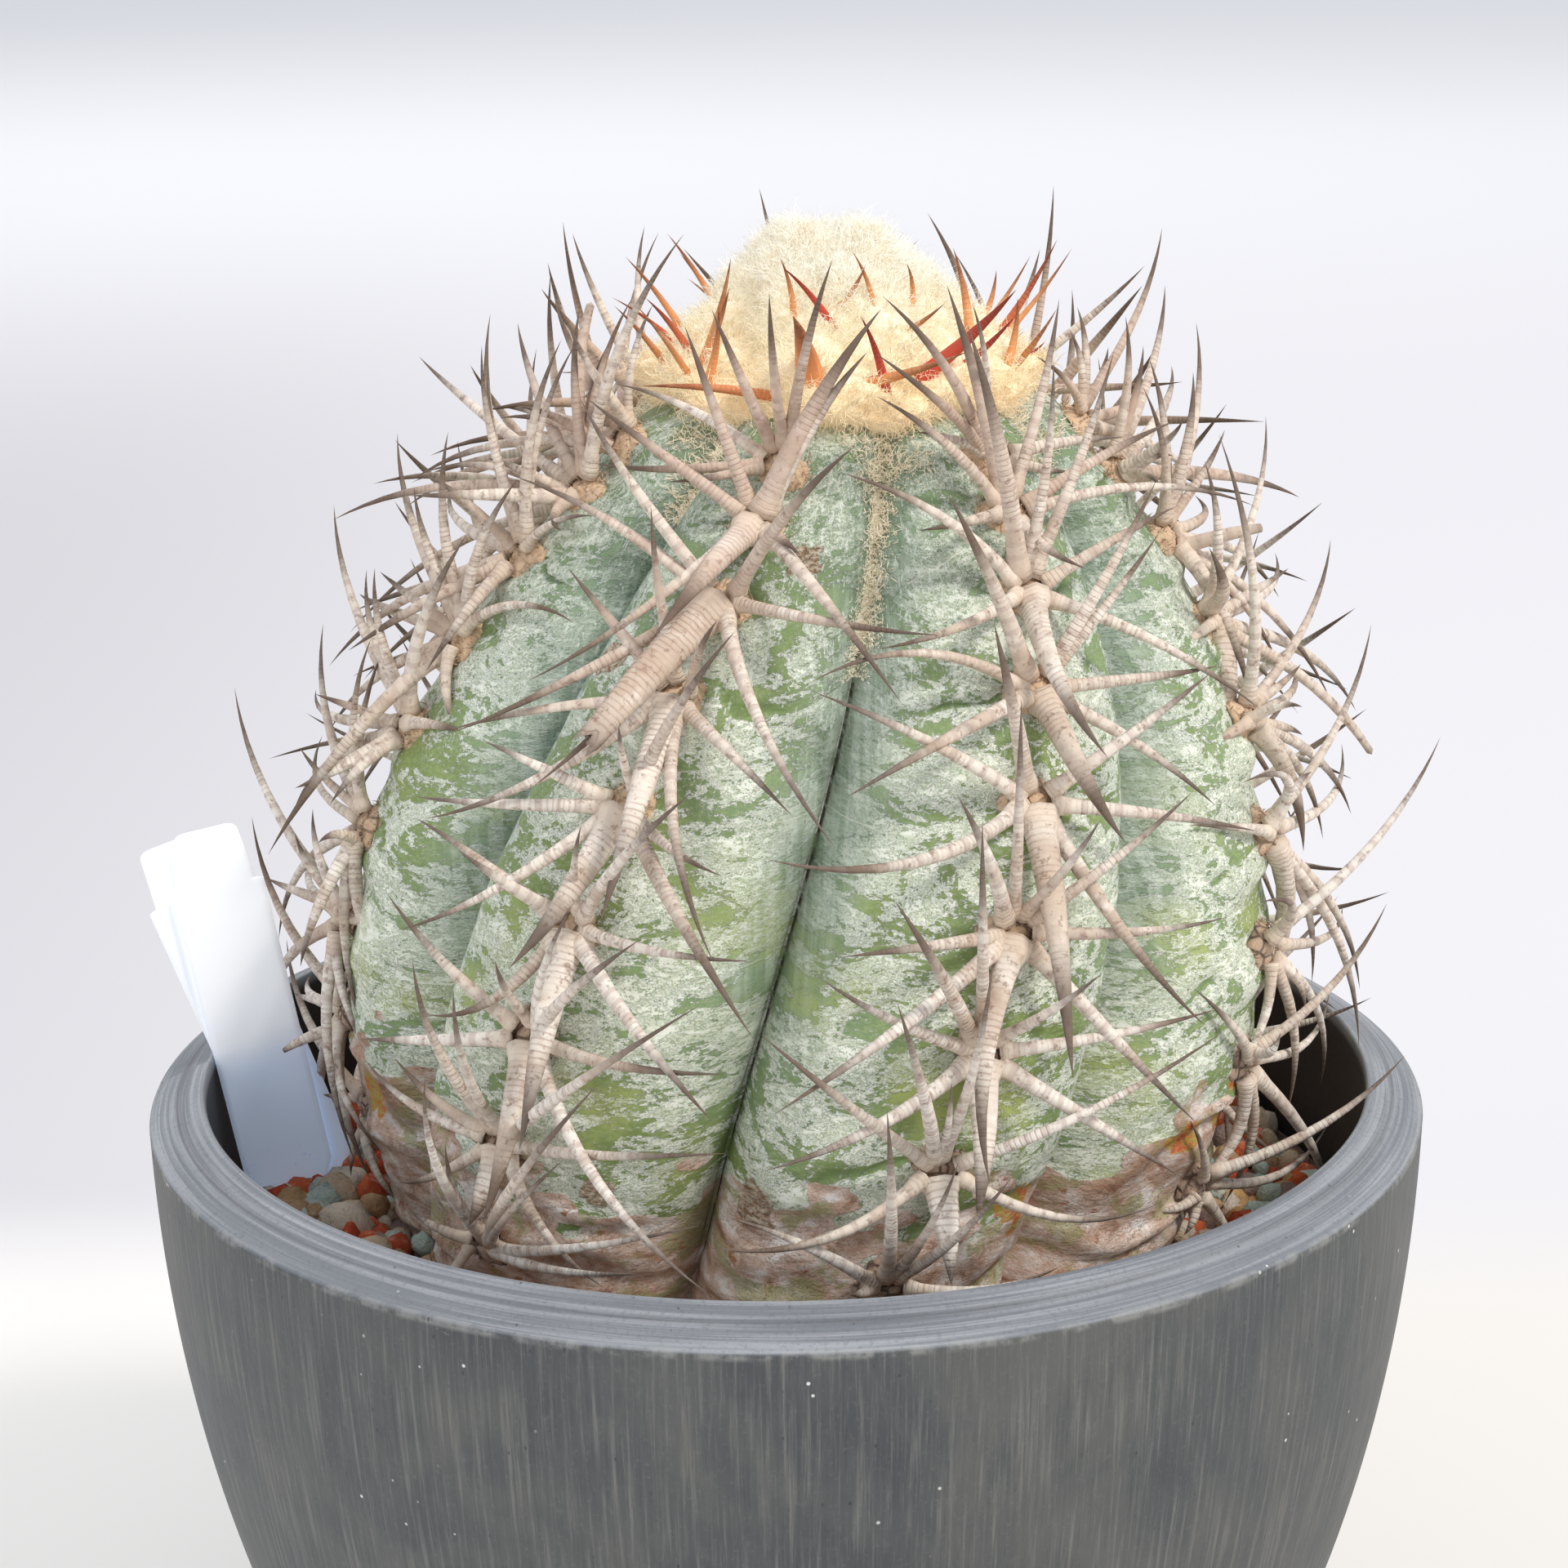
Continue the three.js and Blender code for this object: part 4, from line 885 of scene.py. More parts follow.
def spineHorn():
    r = Recipe("spineHorn", hornPaints)
    run, share, tone, heavy, fresh = (r.own(k) for k in ("run", "share", "tone", "heavy", "fresh"))
    wobble = r.noise(r.place, 210.0)
    ring = ((run * (9.6 - 1.6 * heavy) + wobble * 6.0 + tone * 9.0).math("SINE") * 0.5 + 0.5) ** 5.0
    ring = ring * r.between(r.noise(r.place, 130.0), 0.36, 0.62)
    band = (run * (2.7 + 0.8 * tone) + wobble * 7.0 + tone * 15.0).math("SINE") * 0.5 + 0.5
    blotch = r.noise(r.place, 150.0, 5.0, 0.7)
    stain = r.noise(r.place, 62.0, 4.0, 0.6)
    fibre = r.noise(r.place, 1100.0, 3.0, 0.65)
    toTip = r.between(share, 0.1, 0.95)
    dark = r.between(share + 0.16 * (blotch - 0.5) + 0.12 * tone + 0.05 * fresh, 0.54, 0.88)
    young = r.coats(r.coats("young", (toTip, "youngTip")), (r.between(blotch, 0.5, 0.35) * 0.35, "youngPale"))
    young = r.coats(young, (r.between(tone, 0.3, 0.85), r.coats("red", (toTip, "redTip"))))
    colour = r.coats(
        r.coats("warm", (tone, "warmDark")),
        (r.between(fresh, 0.75, 0.25) * 0.8, r.coats("grey", (tone, "greyDark"))),
        (r.between(stain + 0.3 * (blotch - 0.5), 0.52, 0.64) * 0.6, "stain"),
        (r.between(blotch, 0.54, 0.70) * 0.55, "blotch"),
        (r.between(blotch, 0.46, 0.32) * 0.55, "light"),
        (r.between(band, 0.55, 0.9) * (0.5 - 0.4 * heavy), "band"),
        (ring * (0.26 + 0.24 * heavy) * r.between(share, 0.85, 0.5), "ring"),
        (r.between(fibre, 0.54, 0.68) * 0.6, "fibre"),
        (r.between(fresh, 0.62, 0.95) * r.between(tone, 0.35, 0.65) * 0.4, "rosy"),
        (dark * 0.9, r.coats("tip", (blotch, "tipLight"))),
        (r.between(run, 4.0, 0.8) * 0.45, "felt"),
        (r.own("young"), young))
    return r.finish(colour, 0.62 + 0.2 * blotch, r.bump(ring * -0.5 + fibre * 0.6, 0.13), specular=0.3)


cushionForm = {
    "side": 3.5,
    "along": 3.2,
    "rise": 1.9,
    "around": 18,
    "rings": 6,
    "reach": (1.12, 0.08),  # the outermost and the innermost ring, as a share of the size
    "hairs": 110,  # on each cushion
    "hairLength": 1.1,
    "hairRadius": 0.07,
}


def putCushions(heap, rib, slot):
    # Each cushion stands out from the skin by its rise times (1 - rho squared), with lumps, rho running from
    # its edge in to its middle; short crooked hairs stand all over it.
    p = cushionForm
    place, up, side, out = (a[:, None, None] for a in frames[rib])
    draw = np.random.default_rng(300 + rib)
    n = len(cushionHeights)
    rho = np.linspace(*p["reach"], p["rings"])[None, :, None]
    turn = turns(p["around"])[None, None, :]
    phase = draw.uniform(0, 6.28, (n, 1, 1))
    lump = 1 + 0.10 * np.sin(3 * turn + phase) + 0.07 * np.sin(5 * turn + 2 * phase)
    rise = p["rise"] * (1 - rho ** 2) + 0.28 * np.sin(4 * turn + 3 * phase + 5 * rho) * rho
    level = (side * (p["side"] * rho * lump * np.cos(turn))[..., None]
             + up * (p["along"] * rho * lump * np.sin(turn))[..., None])
    points = (place + level + out * (rise - 0.3)[..., None]).reshape(n, -1, 3)
    place, up, side, out = frames[rib]
    ends = np.stack([place - out * 1.2, place + out * (p["rise"] - 0.2)], 1)
    block = p["around"] * p["rings"] + 2
    fresh = np.arange(n) / (n - 1)
    heap.put(np.concatenate([points, ends], 1), repeated(shutFaces(p["rings"], p["around"]), n, block), slot,
             fresh=np.repeat(fresh, block))
    count = n * p["hairs"]
    place, up, side, out, fresh = (np.repeat(a, p["hairs"], axis=0) for a in (place, up, side, out, fresh))
    far, angle = np.sqrt(draw.uniform(0.05, 1.3, count)), draw.uniform(0, 6.283, count)
    flat = (side * (np.cos(angle) * p["side"] * far)[:, None]
            + up * (np.sin(angle) * p["along"] * far)[:, None])
    root = place + flat + out * (p["rise"] * np.maximum(1 - far ** 2, 0) - 0.5)[:, None]
    way = unit(out + 0.5 * unit(flat) + draw.normal(0, 0.45, (count, 3)))
    reach = p["hairLength"] * draw.uniform(0.5, 1.2, (count, 1)) * (0.7 + 0.6 * fresh[:, None])
    bend = unit(way + draw.normal(0, 0.7, (count, 3))) * reach * 0.5
    putHairs(heap, slot, p["hairRadius"], root, root + way * reach * 0.55, bend, fresh=fresh)


feltPaints = {
    "upper": (232, 206, 176), "upperDark": (206, 170, 134), "lower": (206, 184, 164),
    "lowerDark": (150, 118, 96), "crack": (66, 46, 38), "grain": (140, 108, 84),
}


def cushionFelt():
    r = Recipe("cushionFelt", feltPaints)
    fresh = r.own("fresh")
    grain = r.noise(r.place, 1100.0, 4.0, 0.7)
    patch = r.noise(r.place, 300.0, 4.0, 0.65)
    crack = r.between(r.cells(r.place, 420.0, "DISTANCE_TO_EDGE"), 0.01, 0.12)
    colour = r.coats(
        r.coats("lower", (patch, "lowerDark")),
        (r.between(fresh, 0.1, 0.5), r.coats("upper", (patch, "upperDark"))),
        ((1.0 - crack) * r.between(fresh, 0.7, 0.2) * 0.8, "crack"),
        (r.between(grain, 0.55, 0.35) * 0.35, "grain"))
    return r.finish(colour, 0.9, r.bump(grain + crack * 0.6, 0.3), sheen=0.2, specular=0.2)


horn, felt = spineHorn(), cushionFelt()
for rib in range(stem["ribs"]):
    heap = Heap()
    putSpines(heap, *rowSpines(rib), 0)
    putCushions(heap, rib, 1)
    heap.piece("spineRow%d" % (rib + 1), [horn, felt], "spines", ["spine_row_%d" % (rib + 1)])

print("stage: wool")
woolForm = {
    "middle": (8.5, 8.0),
    # height, radius of the cap
    "profile": [(86.0, 22.0), (88.5, 25.6), (91.0, 25.8), (94.0, 23.2), (97.5, 19.2), (101.5, 15.4),
                (104.5, 12.6), (106.4, 9.8), (107.2, 6.2), (107.4, 0.0)],
    "around": 90,
    "rows": 34,
    "lean": 2.4,  # how far the top stands to the left of the foot
    "humps": [(1.6, 6.0), (11.2, 6.5)],
    "humpHeight": 3.6,
    "humpWidth": 2.8,
    "lumps": 0.10,
    # the waves that make it lumpy: strength, waves round it, radians up it, phase
    "waves": [(0.5, 3, 0, 1.0), (0.7, 7, 9, 0), (0.6, 11, -19, 0), (0.45, 17, 37, 2.0), (0.3, 29, -52, 0)],
    "inset": 1.9,  # the cap lies under the ends of its strands
    "strands": 17500,  # in each of the cap's pieces
    "strandPieces": 4,
    "strandLength": 4.4,
    "strandRadius": 0.042,
    "furrowStrands": [4200, 1300, 1300, 1300, 1300, 1300, 1300],  # down each furrow
    "furrowReach": (60.0, 88.0),
    "furrowLength": 3.2,
    "furrowRadius": 0.06,
}
woolHeights, woolRadii = np.array(woolForm["profile"]).T
woolShares = np.linspace(0, 1, len(woolHeights))


def capAxis(along):
    # the middle of the cap at a share of the way up its profile
    x, y = woolForm["middle"]
    return x - woolForm["lean"] * smoothStep(0.3, 0.9, along), y


def capPoints(along, bearing):
    # the cap's radius follows its profile, made lumpy by waves round and up it; two humps stand on its top
    p = woolForm
    height, radius = np.interp(along, woolShares, woolHeights), np.interp(along, woolShares, woolRadii)
    lump = sum(size * np.sin(about * bearing + up * along + phase) for size, about, up, phase in p["waves"])
    lump = 1 + p["lumps"] * lump * (0.5 + 0.5 * smoothStep(0.0, 0.3, along))
    radius = np.maximum(radius - p["inset"], 0) * lump
    x, y = capAxis(along)
    x, y = x + radius * np.sin(bearing), y - radius * np.cos(bearing)
    spread = 2 * p["humpWidth"] ** 2
    hump = sum(np.exp(-((x - hx) ** 2 + (y - hy) ** 2) / spread) for hx, hy in p["humps"])
    rise = p["humpHeight"] * hump * smoothStep(0.45, 0.85, along)
    return np.stack(np.broadcast_arrays(x, y, rimHeight + height - p["inset"] * along + rise), -1)


def makeWool():
    along = np.linspace(0, 0.985, woolForm["rows"])[:, None]
    points = capPoints(along, turns(woolForm["around"])[None, :])
    return Heap().put(*shutRows(points, points[0].mean(0), capPoints(1.0, 0.0)),
                      level=withEnds(along, points.shape[:2], 0, 1))


def putStrands(heap, seed, slot):
    # strands stand all over the cap; each starts under its surface, leans at random and bends once half way
    p = woolForm
    draw = np.random.default_rng(seed)
    n = p["strands"]
    share, angle = draw.uniform(0, 1, n) ** 0.8, draw.uniform(0, fullTurn, n)
    root = capPoints(share, angle)
    onward, upward = capPoints(share, angle + 0.01), capPoints(np.minimum(share + 0.01, 1.01), angle)
    out = unit(np.cross(onward - root, upward - root))
    clump = np.stack([waves(seed % 3 + 40 + k, 5, 9.0, 3.0, *root.T) for k in range(3)], -1)
    way = unit(out * draw.uniform(0.3, 1.5, (n, 1)) + draw.normal(0, 0.5, (n, 3)) + 0.45 * clump)
    bend = unit(way * 0.5 + draw.normal(0, 0.6, (n, 3)) + 0.3 * clump)
    reach = p["strandLength"] * draw.uniform(0.35, 1.15, (n, 1))
    reach = reach * (0.75 + 0.35 * draw.uniform(0, 1, (n, 1)) ** 4)
    radius = p["strandRadius"] * np.array([1.3, 1.0, 0.3]) * draw.uniform(0.7, 1.2, (n, 1))
    root = root - out * 0.5
    putHairs(heap, slot, radius, root, root + way * reach * 0.55, bend * reach * 0.5,
             level=share, tone=draw.uniform(0, 1, n))


def putFurrowFelt(heap, slot):
    # short felt that runs down every furrow from the cap, wide at its top and thin at its foot
    p = woolForm
    draw = np.random.default_rng(77)
    rib = np.repeat(np.arange(stem["ribs"]), p["furrowStrands"])
    n = len(rib)
    low, high = p["furrowReach"]
    depth = np.where(rib == 0, 1.0, 0.45)  # the picture shows the furrow behind the front rib felted furthest
    fall = 1 - draw.uniform(0, 1, n) ** 0.75 * depth
    height = low + (high - low) * fall
    across = 1 + draw.normal(0, 1, n) * (0.05 + 0.26 * smoothStep(0.5, 1.0, fall) ** 2)
    folded = np.where(across > 1, across - 2, across)
    turned = bearingAt(rib, across, height)
    root = atBearing(skinDistance(folded, height, crestRadius(height)) - 0.2, turned, height)
    out = np.stack([np.sin(turned), -np.cos(turned), 0.6 + 0 * turned], -1)
    way = unit(out + draw.normal(0, 0.6, (n, 3)))
    bend = unit(way * 0.4 + draw.normal(0, 0.8, (n, 3)))
    ragged = 0.35 + 0.65 * smoothStep(-0.5, 0.5, waves(83, 6, 8.0, 2.5, height, 5 * across))[:, None]
    reach = p["furrowLength"] * draw.uniform(0.4, 1.2, (n, 1)) * (0.3 + 0.8 * fall[:, None]) * ragged
    putHairs(heap, slot, p["furrowRadius"] * np.array([1.2, 1, 0.4]), root, root + way * reach * 0.5,
             bend * reach * 0.5, level=-0.1 - 0.5 * (1 - fall), tone=draw.uniform(0, 1, n))


woolPaints = {
    "lowest": (226, 220, 206), "furrow": (236, 224, 200), "foot": (242, 216, 176),
    "golden": (254, 235, 196), "pale": (255, 248, 226), "top": (255, 254, 246), "dim": (232, 188, 130),
    "glow": (255, 238, 202),
}


def woolTint(name, depth):
    # pale at the top, golden in the middle, tan at the foot and down the furrows; the golden and tan lower
    # down is partly the wool's own colour and partly painted shade
    r = Recipe(name, woolPaints)
    level = r.own("level") + 0.20 * (r.noise(r.place, 120.0, 4.0, 0.65) - 0.5)
    colour = r.ramp(level * 0.5 + 0.5, [
        (0.20, "lowest"), (0.45, "furrow"), (0.53, "foot"), (0.62, "golden"), (0.74, "pale"), (0.86, "top")])
    # dim: darker golden in the gaps between the clumps is painted shade, as strong as depth
    dim = r.between(r.noise(r.place, 330.0, 3.0, 0.6), 0.45, 0.75) * r.between(level, -0.1, 0.1)
    normal = r.bump(r.noise(r.place, 900.0, 3.0, 0.7), 0.4)
    # the wool's glow is painted light: it glows though it is no lamp
    return r.finish(r.coats(colour, (dim * depth, "dim")), 0.95, normal, sheen=0.3, specular=0.1, glow=0.20)


youngForm = {
    # seen in the picture: tip and foot in its pixels, how far the tip leans to the front in mm, width, tone
    # (over a half is red); a foot sits where the eye's ray enters the wool
    "seen": [
        ((1245, 354), (1124, 464), 2, 1.50, 0.9), ((1243, 387), (1157, 464), 0, 0.94, 0.95),
        ((957, 326), (1022, 403), 4, 0.75, 0.85), ((955, 315), (972, 392), 1, 0.69, 0.3),
        ((971, 387), (992, 465), 8, 2.30, 0.45), ((1060, 324), (1022, 379), 1, 0.62, 0.2),
        ((1043, 307), (1071, 379), 2, 0.56, 0.3), ((1110, 322), (1116, 375), 1, 0.62, 0.1),
        ((1054, 387), (1086, 485), 4, 0.94, 0.95), ((1186, 430), (1039, 473), 6, 1.05, 0.4),
        ((1157, 371), (1080, 420), 1, 0.75, 0.2), ((1280, 418), (1250, 438), 0, 0.50, 0.9),
        ((749, 364), (826, 428), 0, 0.50, 0.7), ((893, 352), (851, 460), 2, 1.00, 0.3),
        ((895, 315), (858, 450), 1, 0.94, 0.35), ((784, 473), (945, 485), 3, 0.94, 0.5),
        ((1167, 303), (1188, 420), -3, 1.00, 0.25), ((1246, 364), (1232, 450), -2, 0.88, 0.3),
        ((1220, 330), (1200, 400), -4, 0.75, 0.2), ((880, 375), (866, 470), 3, 0.88, 0.15),
    ],
    "hidden": 16,  # on the sides and the back
    "search": (-35, 12, 95),  # a foot is looked for from behind the middle to the front, in so many steps
    "inWool": 3.2,  # how deep a foot is
    "bow": 0.6,
}


def footInWool(pixel):
    # the first place on the eye's ray that lies in the wool, or the nearest to it, drawn in to it
    line = np.array([tipOf(pixel, np.zeros(3), facing, -far) for far in np.linspace(*youngForm["search"])])
    height = line[:, 2] - rimHeight
    x, y = capAxis(np.interp(height, woolHeights, woolShares))
    gap = np.hypot(line[:, 0] - x, line[:, 1] - y) - np.interp(height, woolHeights, woolRadii)
    gap = gap + youngForm["inWool"]
    k = np.argmax(gap < 0) if gap.min() < 0 else np.argmin(gap)
    inward = unit(np.array([x[k] - line[k, 0], y - line[k, 1], 0.0]))
    return line[k] + inward * max(gap[k], 0.0)


def youngSpines():
    draw = np.random.default_rng(9)
    found = []
    for tip, foot, lean, width, tone in youngForm["seen"]:
        root = footInWool(foot)
        found.append((root, tipOf(tip, root, facing, lean), width, tone))
    hidden = youngForm["hidden"]
    for bearing in np.radians(np.linspace(75, 300, hidden) + draw.uniform(-6, 6, hidden)):
        root = capPoints(draw.uniform(0.1, 0.45), bearing)
        out = unit(np.array([math.sin(bearing), -math.cos(bearing), draw.uniform(0.6, 1.6)]))
        tip = root + out * draw.uniform(9, 15)
        found.append((root - out * 1.5, tip, draw.uniform(0.6, 0.9), draw.uniform(0, 0.7)))
    curves = []
    for root, tip, width, tone in found:
        bow = unit(np.cross(tip - root, [0.3, -1.0, 0.2])) * youngForm["bow"]
        curves.append((curveOf(root, tip, bow, bow), width, 1.0))
    return curves, [f[3] for f in found]


woolBase, woolStrand = woolTint("woolBase", 0.5), woolTint("woolStrand", 0.3)
wool = makeWool()
putFurrowFelt(wool, 1)
putSpines(wool, *youngSpines(), 2, 1.0)
wool.piece("crownWool", [woolBase, woolStrand, horn], "wool", ["crown_wool"])
for part in range(woolForm["strandPieces"]):
    fluff = Heap()
    putStrands(fluff, 60 + part, 0)
    fluff.piece("crownFluff%d" % (part + 1), [woolStrand], "wool")

print("stage: pot")
potForm = {
    "outerRadius": 84.0,
    "creaseDrop": 3.35,
    "outerDepth": 140.0,
    "innerRadius": 76.6,
    "innerDepth": 134.0,
    "floor": 6.0,
    "around": 240,
    "footRound": 1.6,
    "hub": 10.0,  # radius of the innermost ring of the foot and of the floor
    "holes": 5,
    "holeRadius": 4.5,
    "holeRing": 27.0,
}


def wallLine(radius, halfDepth, fromDepth, toDepth, steps):
    # the radius follows an ellipse that meets the rim upright
    depth = np.linspace(fromDepth, toDepth, steps)
    return np.stack([radius * np.sqrt(1 - (depth / halfDepth) ** 2), rimHeight - depth], -1)


def potProfile():
    # from under the foot up the wall, over the worn crease and the sloping rim, down the inside to the floor
    p = potForm
    outer, inner, drop, soft = (p[k] for k in ("outerRadius", "innerRadius", "creaseDrop", "footRound"))
    wall = wallLine(outer, p["outerDepth"], rimHeight - soft, drop + 0.5, 44)
    turn = np.linspace(0, np.pi / 2, 6)
    foot = np.stack([wall[0, 0] - soft * (1 - np.sin(turn)), soft * (1 - np.cos(turn))], -1)
    crease = np.array([[-0.01, -0.15], [-0.12, 0.08], [-0.42, 0.30]]) + [outer, rimHeight - drop]
    share = np.linspace(0.09, 0.86, 9)
    slope = np.stack([outer + (inner - outer) * share, rimHeight - drop * (1 - share) ** 1.25], -1)
    edge = np.array([[0.55, -0.02], [0.2, -0.2], [0.03, -0.6]]) + [inner, rimHeight]
    inside = wallLine(inner, p["innerDepth"], 1.2, rimHeight - p["floor"] - 1.5, 26)
    corner = np.array([[-1.2, 0.3], [-3.0, 0.0]]) + [inside[-1, 0], p["floor"]]
    return np.concatenate([[[p["hub"], 0.0]], foot, wall[1:], crease, slope, edge, inside, corner,
                           [[p["hub"], p["floor"]]]])


def makePot():
    # the profile turned round the pot's middle
    radius, height = potProfile().T[..., None]
    bearing = turns(potForm["around"])
    points = np.stack(np.broadcast_arrays(radius * np.cos(bearing), radius * np.sin(bearing), height), -1)
    return Heap().put(*shutRows(points, [0, 0, 0], [0, 0, potForm["floor"]]))


def drill(piece):
    # plain round holes through the floor, cut with Blender's Boolean and applied
    p = potForm
    ring = p["holeRing"] * millimetre
    for bearing in turns(p["holes"]):
        bpy.ops.mesh.primitive_cylinder_add(
            vertices=40, radius=p["holeRadius"] * millimetre, depth=0.04,
            location=(ring * math.sin(bearing), ring * math.cos(bearing), 0))
        rod = bpy.context.object
        cut = piece.modifiers.new("hole", "BOOLEAN")
        cut.operation, cut.object, cut.solver = "DIFFERENCE", rod, "EXACT"
        bpy.context.view_layer.objects.active = piece
        bpy.ops.object.modifier_apply(modifier=cut.name)
        bpy.data.objects.remove(rod)


potPaints = {
    "plastic": (64, 68, 72), "plasticPale": (88, 89, 88), "streak": (132, 130, 126),
    "streakDark": (50, 54, 58), "hair": (120, 120, 118), "fine": (118, 118, 116), "scuff": (168, 168, 162),
    "scratch": (160, 160, 156), "rim": (112, 116, 123), "rimPale": (152, 155, 161),
    "rimDark": (92, 95, 100), "edge": (160, 160, 158), "speck": (220, 220, 216), "pit": (36, 38, 40),
    "inside": (30, 30, 32), "insidePale": (52, 50, 48),
}


def potPlastic():
    r = Recipe("potPlastic", potPaints)
    x, y, z = (r.part(axis) for axis in range(3))
    radius, bearing = (x * x + y * y).math("SQRT"), y.math("ARCTAN2", x)
    p = {k: v * millimetre for k, v in potForm.items()}
    outer, inner, top = p["outerRadius"], p["innerRadius"], rimHeight * millimetre
    crease = top - p["creaseDrop"]
    # millimetres round and up the wall
    wall = r.joined(bearing * potForm["outerRadius"], z * 1000.0, radius * 100.0)
    streak = r.noise(wall, (1.3, 0.045, 0.0), 5.0, 0.7)
    hair = r.noise(wall, (3.2, 0.12, 0.0), 3.0, 0.7)
    cloud = r.noise(wall, (0.045, 0.03, 0.02), 5.0, 0.62, 0.5)
    fine = r.noise(r.place, 1600.0, 3.0, 0.65)
    rubbed = r.noise(wall, (0.03, 0.05, 0.0))
    scuff = r.between(r.noise(wall, (0.22, 1.1, 0.0), 6.0, 0.8, 1.5), 0.62, 0.70)
    scratch = r.between(r.noise(wall, (0.05, 1.6, 0.0), 3.0, 0.7, 0.3), 0.70, 0.74)
    # the rim: fine rings round it, paler where they are worn
    rim = r.between(z, crease - 0.00025, crease + 0.00025) * r.between(radius, inner - 0.0006, inner + 0.0002)
    ring = r.noise(r.joined(radius * 1500.0, bearing * 0.8, 0.0), 1.0, 4.0, 0.7)
    broadRing = r.noise(r.joined(radius * 420.0, bearing * 1.5, 3.0), 1.0, 2.0, 0.6)
    rimColour = r.coats("rim", (r.between(ring + 0.5 * (broadRing - 0.5), 0.38, 0.66), "rimPale"),
                        (r.between(fine, 0.50, 0.7) * 0.35, "rimDark"))
    worn = r.noise(r.place, 260.0, 5.0, 0.7)
    edge = r.between(radius, outer - 0.0007, outer - 0.00025)
    edge = edge * r.between(z, crease - 0.00105, crease - 0.00035)
    speck = r.between(r.cells(r.place, 300.0), 0.085, 0.05) * r.between(r.noise(r.place, 50.0), 0.56, 0.62)
    pit = r.between(r.cells(r.scaled(r.place, (1.0, 1.0, 0.6)), 420.0), 0.09, 0.05)
    # inside is what lies within an ellipse half way through the wall
    depth = (top - z) / ((p["outerDepth"] + p["innerDepth"]) / 2)
    within = radius - (1.0 - depth * depth).math("SQRT") * ((outer + inner) / 2)
    colour = r.coats(
        r.coats("plastic", (r.between(cloud, 0.32, 0.68), "plasticPale")),
        (r.between(streak, 0.48, 0.72) * 0.48, "streak"),
        (r.between(streak, 0.46, 0.3) * 0.4, "streakDark"),
        (r.between(hair, 0.56, 0.72) * 0.3, "hair"),
        (r.between(fine, 0.55, 0.75) * 0.25, "fine"),
        (scuff * r.between(rubbed, 0.57, 0.64) * 0.75, "scuff"),
        (scratch * r.between(rubbed, 0.45, 0.38) * 0.6, "scratch"),
        (rim, rimColour),
        (edge * r.between(worn, 0.42, 0.62) * 0.45, "edge"),
        (speck * 0.85, "speck"),
        (pit * r.between(cloud, 0.55, 0.45) * 0.6, "pit"),
        (r.between(within, 0.0005, -0.0005) * r.between(z, top - 0.0008, top - 0.0020),
         r.coats("inside", (cloud, "insidePale"))))
    relief = streak * 0.5 + hair * 0.3 + fine * 0.4 + rim * ring * 1.4
    return r.finish(colour, 0.42 + 0.22 * cloud + 0.1 * ring, r.bump(relief, 0.11), specular=0.42)


drill(makePot().piece("bowlPot", [potPlastic()], "pot_plastic", ["pot"]))

print("stage: soil and gravel")
soilPaints = {"crumb": (30, 23, 18), "crumbPale": (66, 52, 42), "speck": (140, 128, 112)}


def soilMix():
    r = Recipe("soilMix", soilPaints)
    crumb = r.noise(r.place, 380.0, 5.0, 0.7)
    speck = r.between(r.cells(r.place, 300.0), 0.2, 0.12)
    colour = r.coats("crumb", (crumb, "crumbPale"), (speck * 0.6, "speck"))
    return r.finish(colour, 0.95, r.bump(crumb, 1.2), specular=0.2)


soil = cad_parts["potting_soil"].data
soil.materials.clear()
soil.materials.append(soilMix())

gravelForm = {
    "level": rimHeight - 21.5,
    "bedAround": 96,
    "bedDepth": 3.0,
    "stemGap": 44.0,  # radius of the stem's place in the bed
    "spots": 1800,
    "size": (1.3, 2.8),  # half sizes
    "big": 0.16,  # share of stones that are larger by the factor below
    "bigger": 1.45,
    "around": 8,
    "rings": 5,
    "flats": 10,  # planes that cut a stone
    "golden": 2.399963,  # radians from stone to stone
}


def stoneBall():
    # a unit ball of a few rings: its points and faces
    rings = gravelForm["rings"]
    tilt = ((np.arange(rings) + 0.75) / (rings + 0.5) * np.pi)[:, None]
    turn = turns(gravelForm["around"])
    ball = np.broadcast_arrays(np.sin(tilt) * np.cos(turn), np.sin(tilt) * np.sin(turn), -np.cos(tilt))
    return shutRows(np.stack(ball, -1), [0, 0, -1], [0, 0, 1])


def putStones(heap, draw, places, sizes):
    # each stone is the ball cut by seeded planes, then stretched, turned about a seeded axis and put in place
    ball, faces = stoneBall()
    n, block = len(places), len(ball)
    flats = unit(draw.normal(size=(n, gravelForm["flats"], 3)))
    depth = draw.uniform(0.58, 0.95, (n, gravelForm["flats"]))
    reach = np.einsum("vd,nfd->nvf", ball, flats)
    limit = np.where(reach > 0.05, depth[:, None, :] / np.maximum(reach, 0.05), 9).min(-1)
    stone = ball[None] * (np.minimum(limit, 1.0) * draw.uniform(0.94, 1.05, limit.shape))[..., None]
    stone = stone * draw.uniform(0.7, 1.3, (n, 1, 3))
    axis, angle = unit(draw.normal(size=(n, 1, 3))), draw.uniform(0, 6.283, (n, 1, 1))
    axis = np.broadcast_to(axis, stone.shape)
    stone = (stone * np.cos(angle) + np.cross(axis, stone) * np.sin(angle)
             + axis * (stone * axis).sum(-1, keepdims=True) * (1 - np.cos(angle)))
    cluster = waves(71, 4, 34, 16, *places[:, :2].T) * 0.18 + draw.uniform(0, 1, n)
    heap.put(places[:, None] + stone * sizes[:, None, None], repeated(faces, n, block), 0,
             tone=np.repeat(cluster % 1.0, block), shade=np.repeat(draw.uniform(0, 1, n), block))


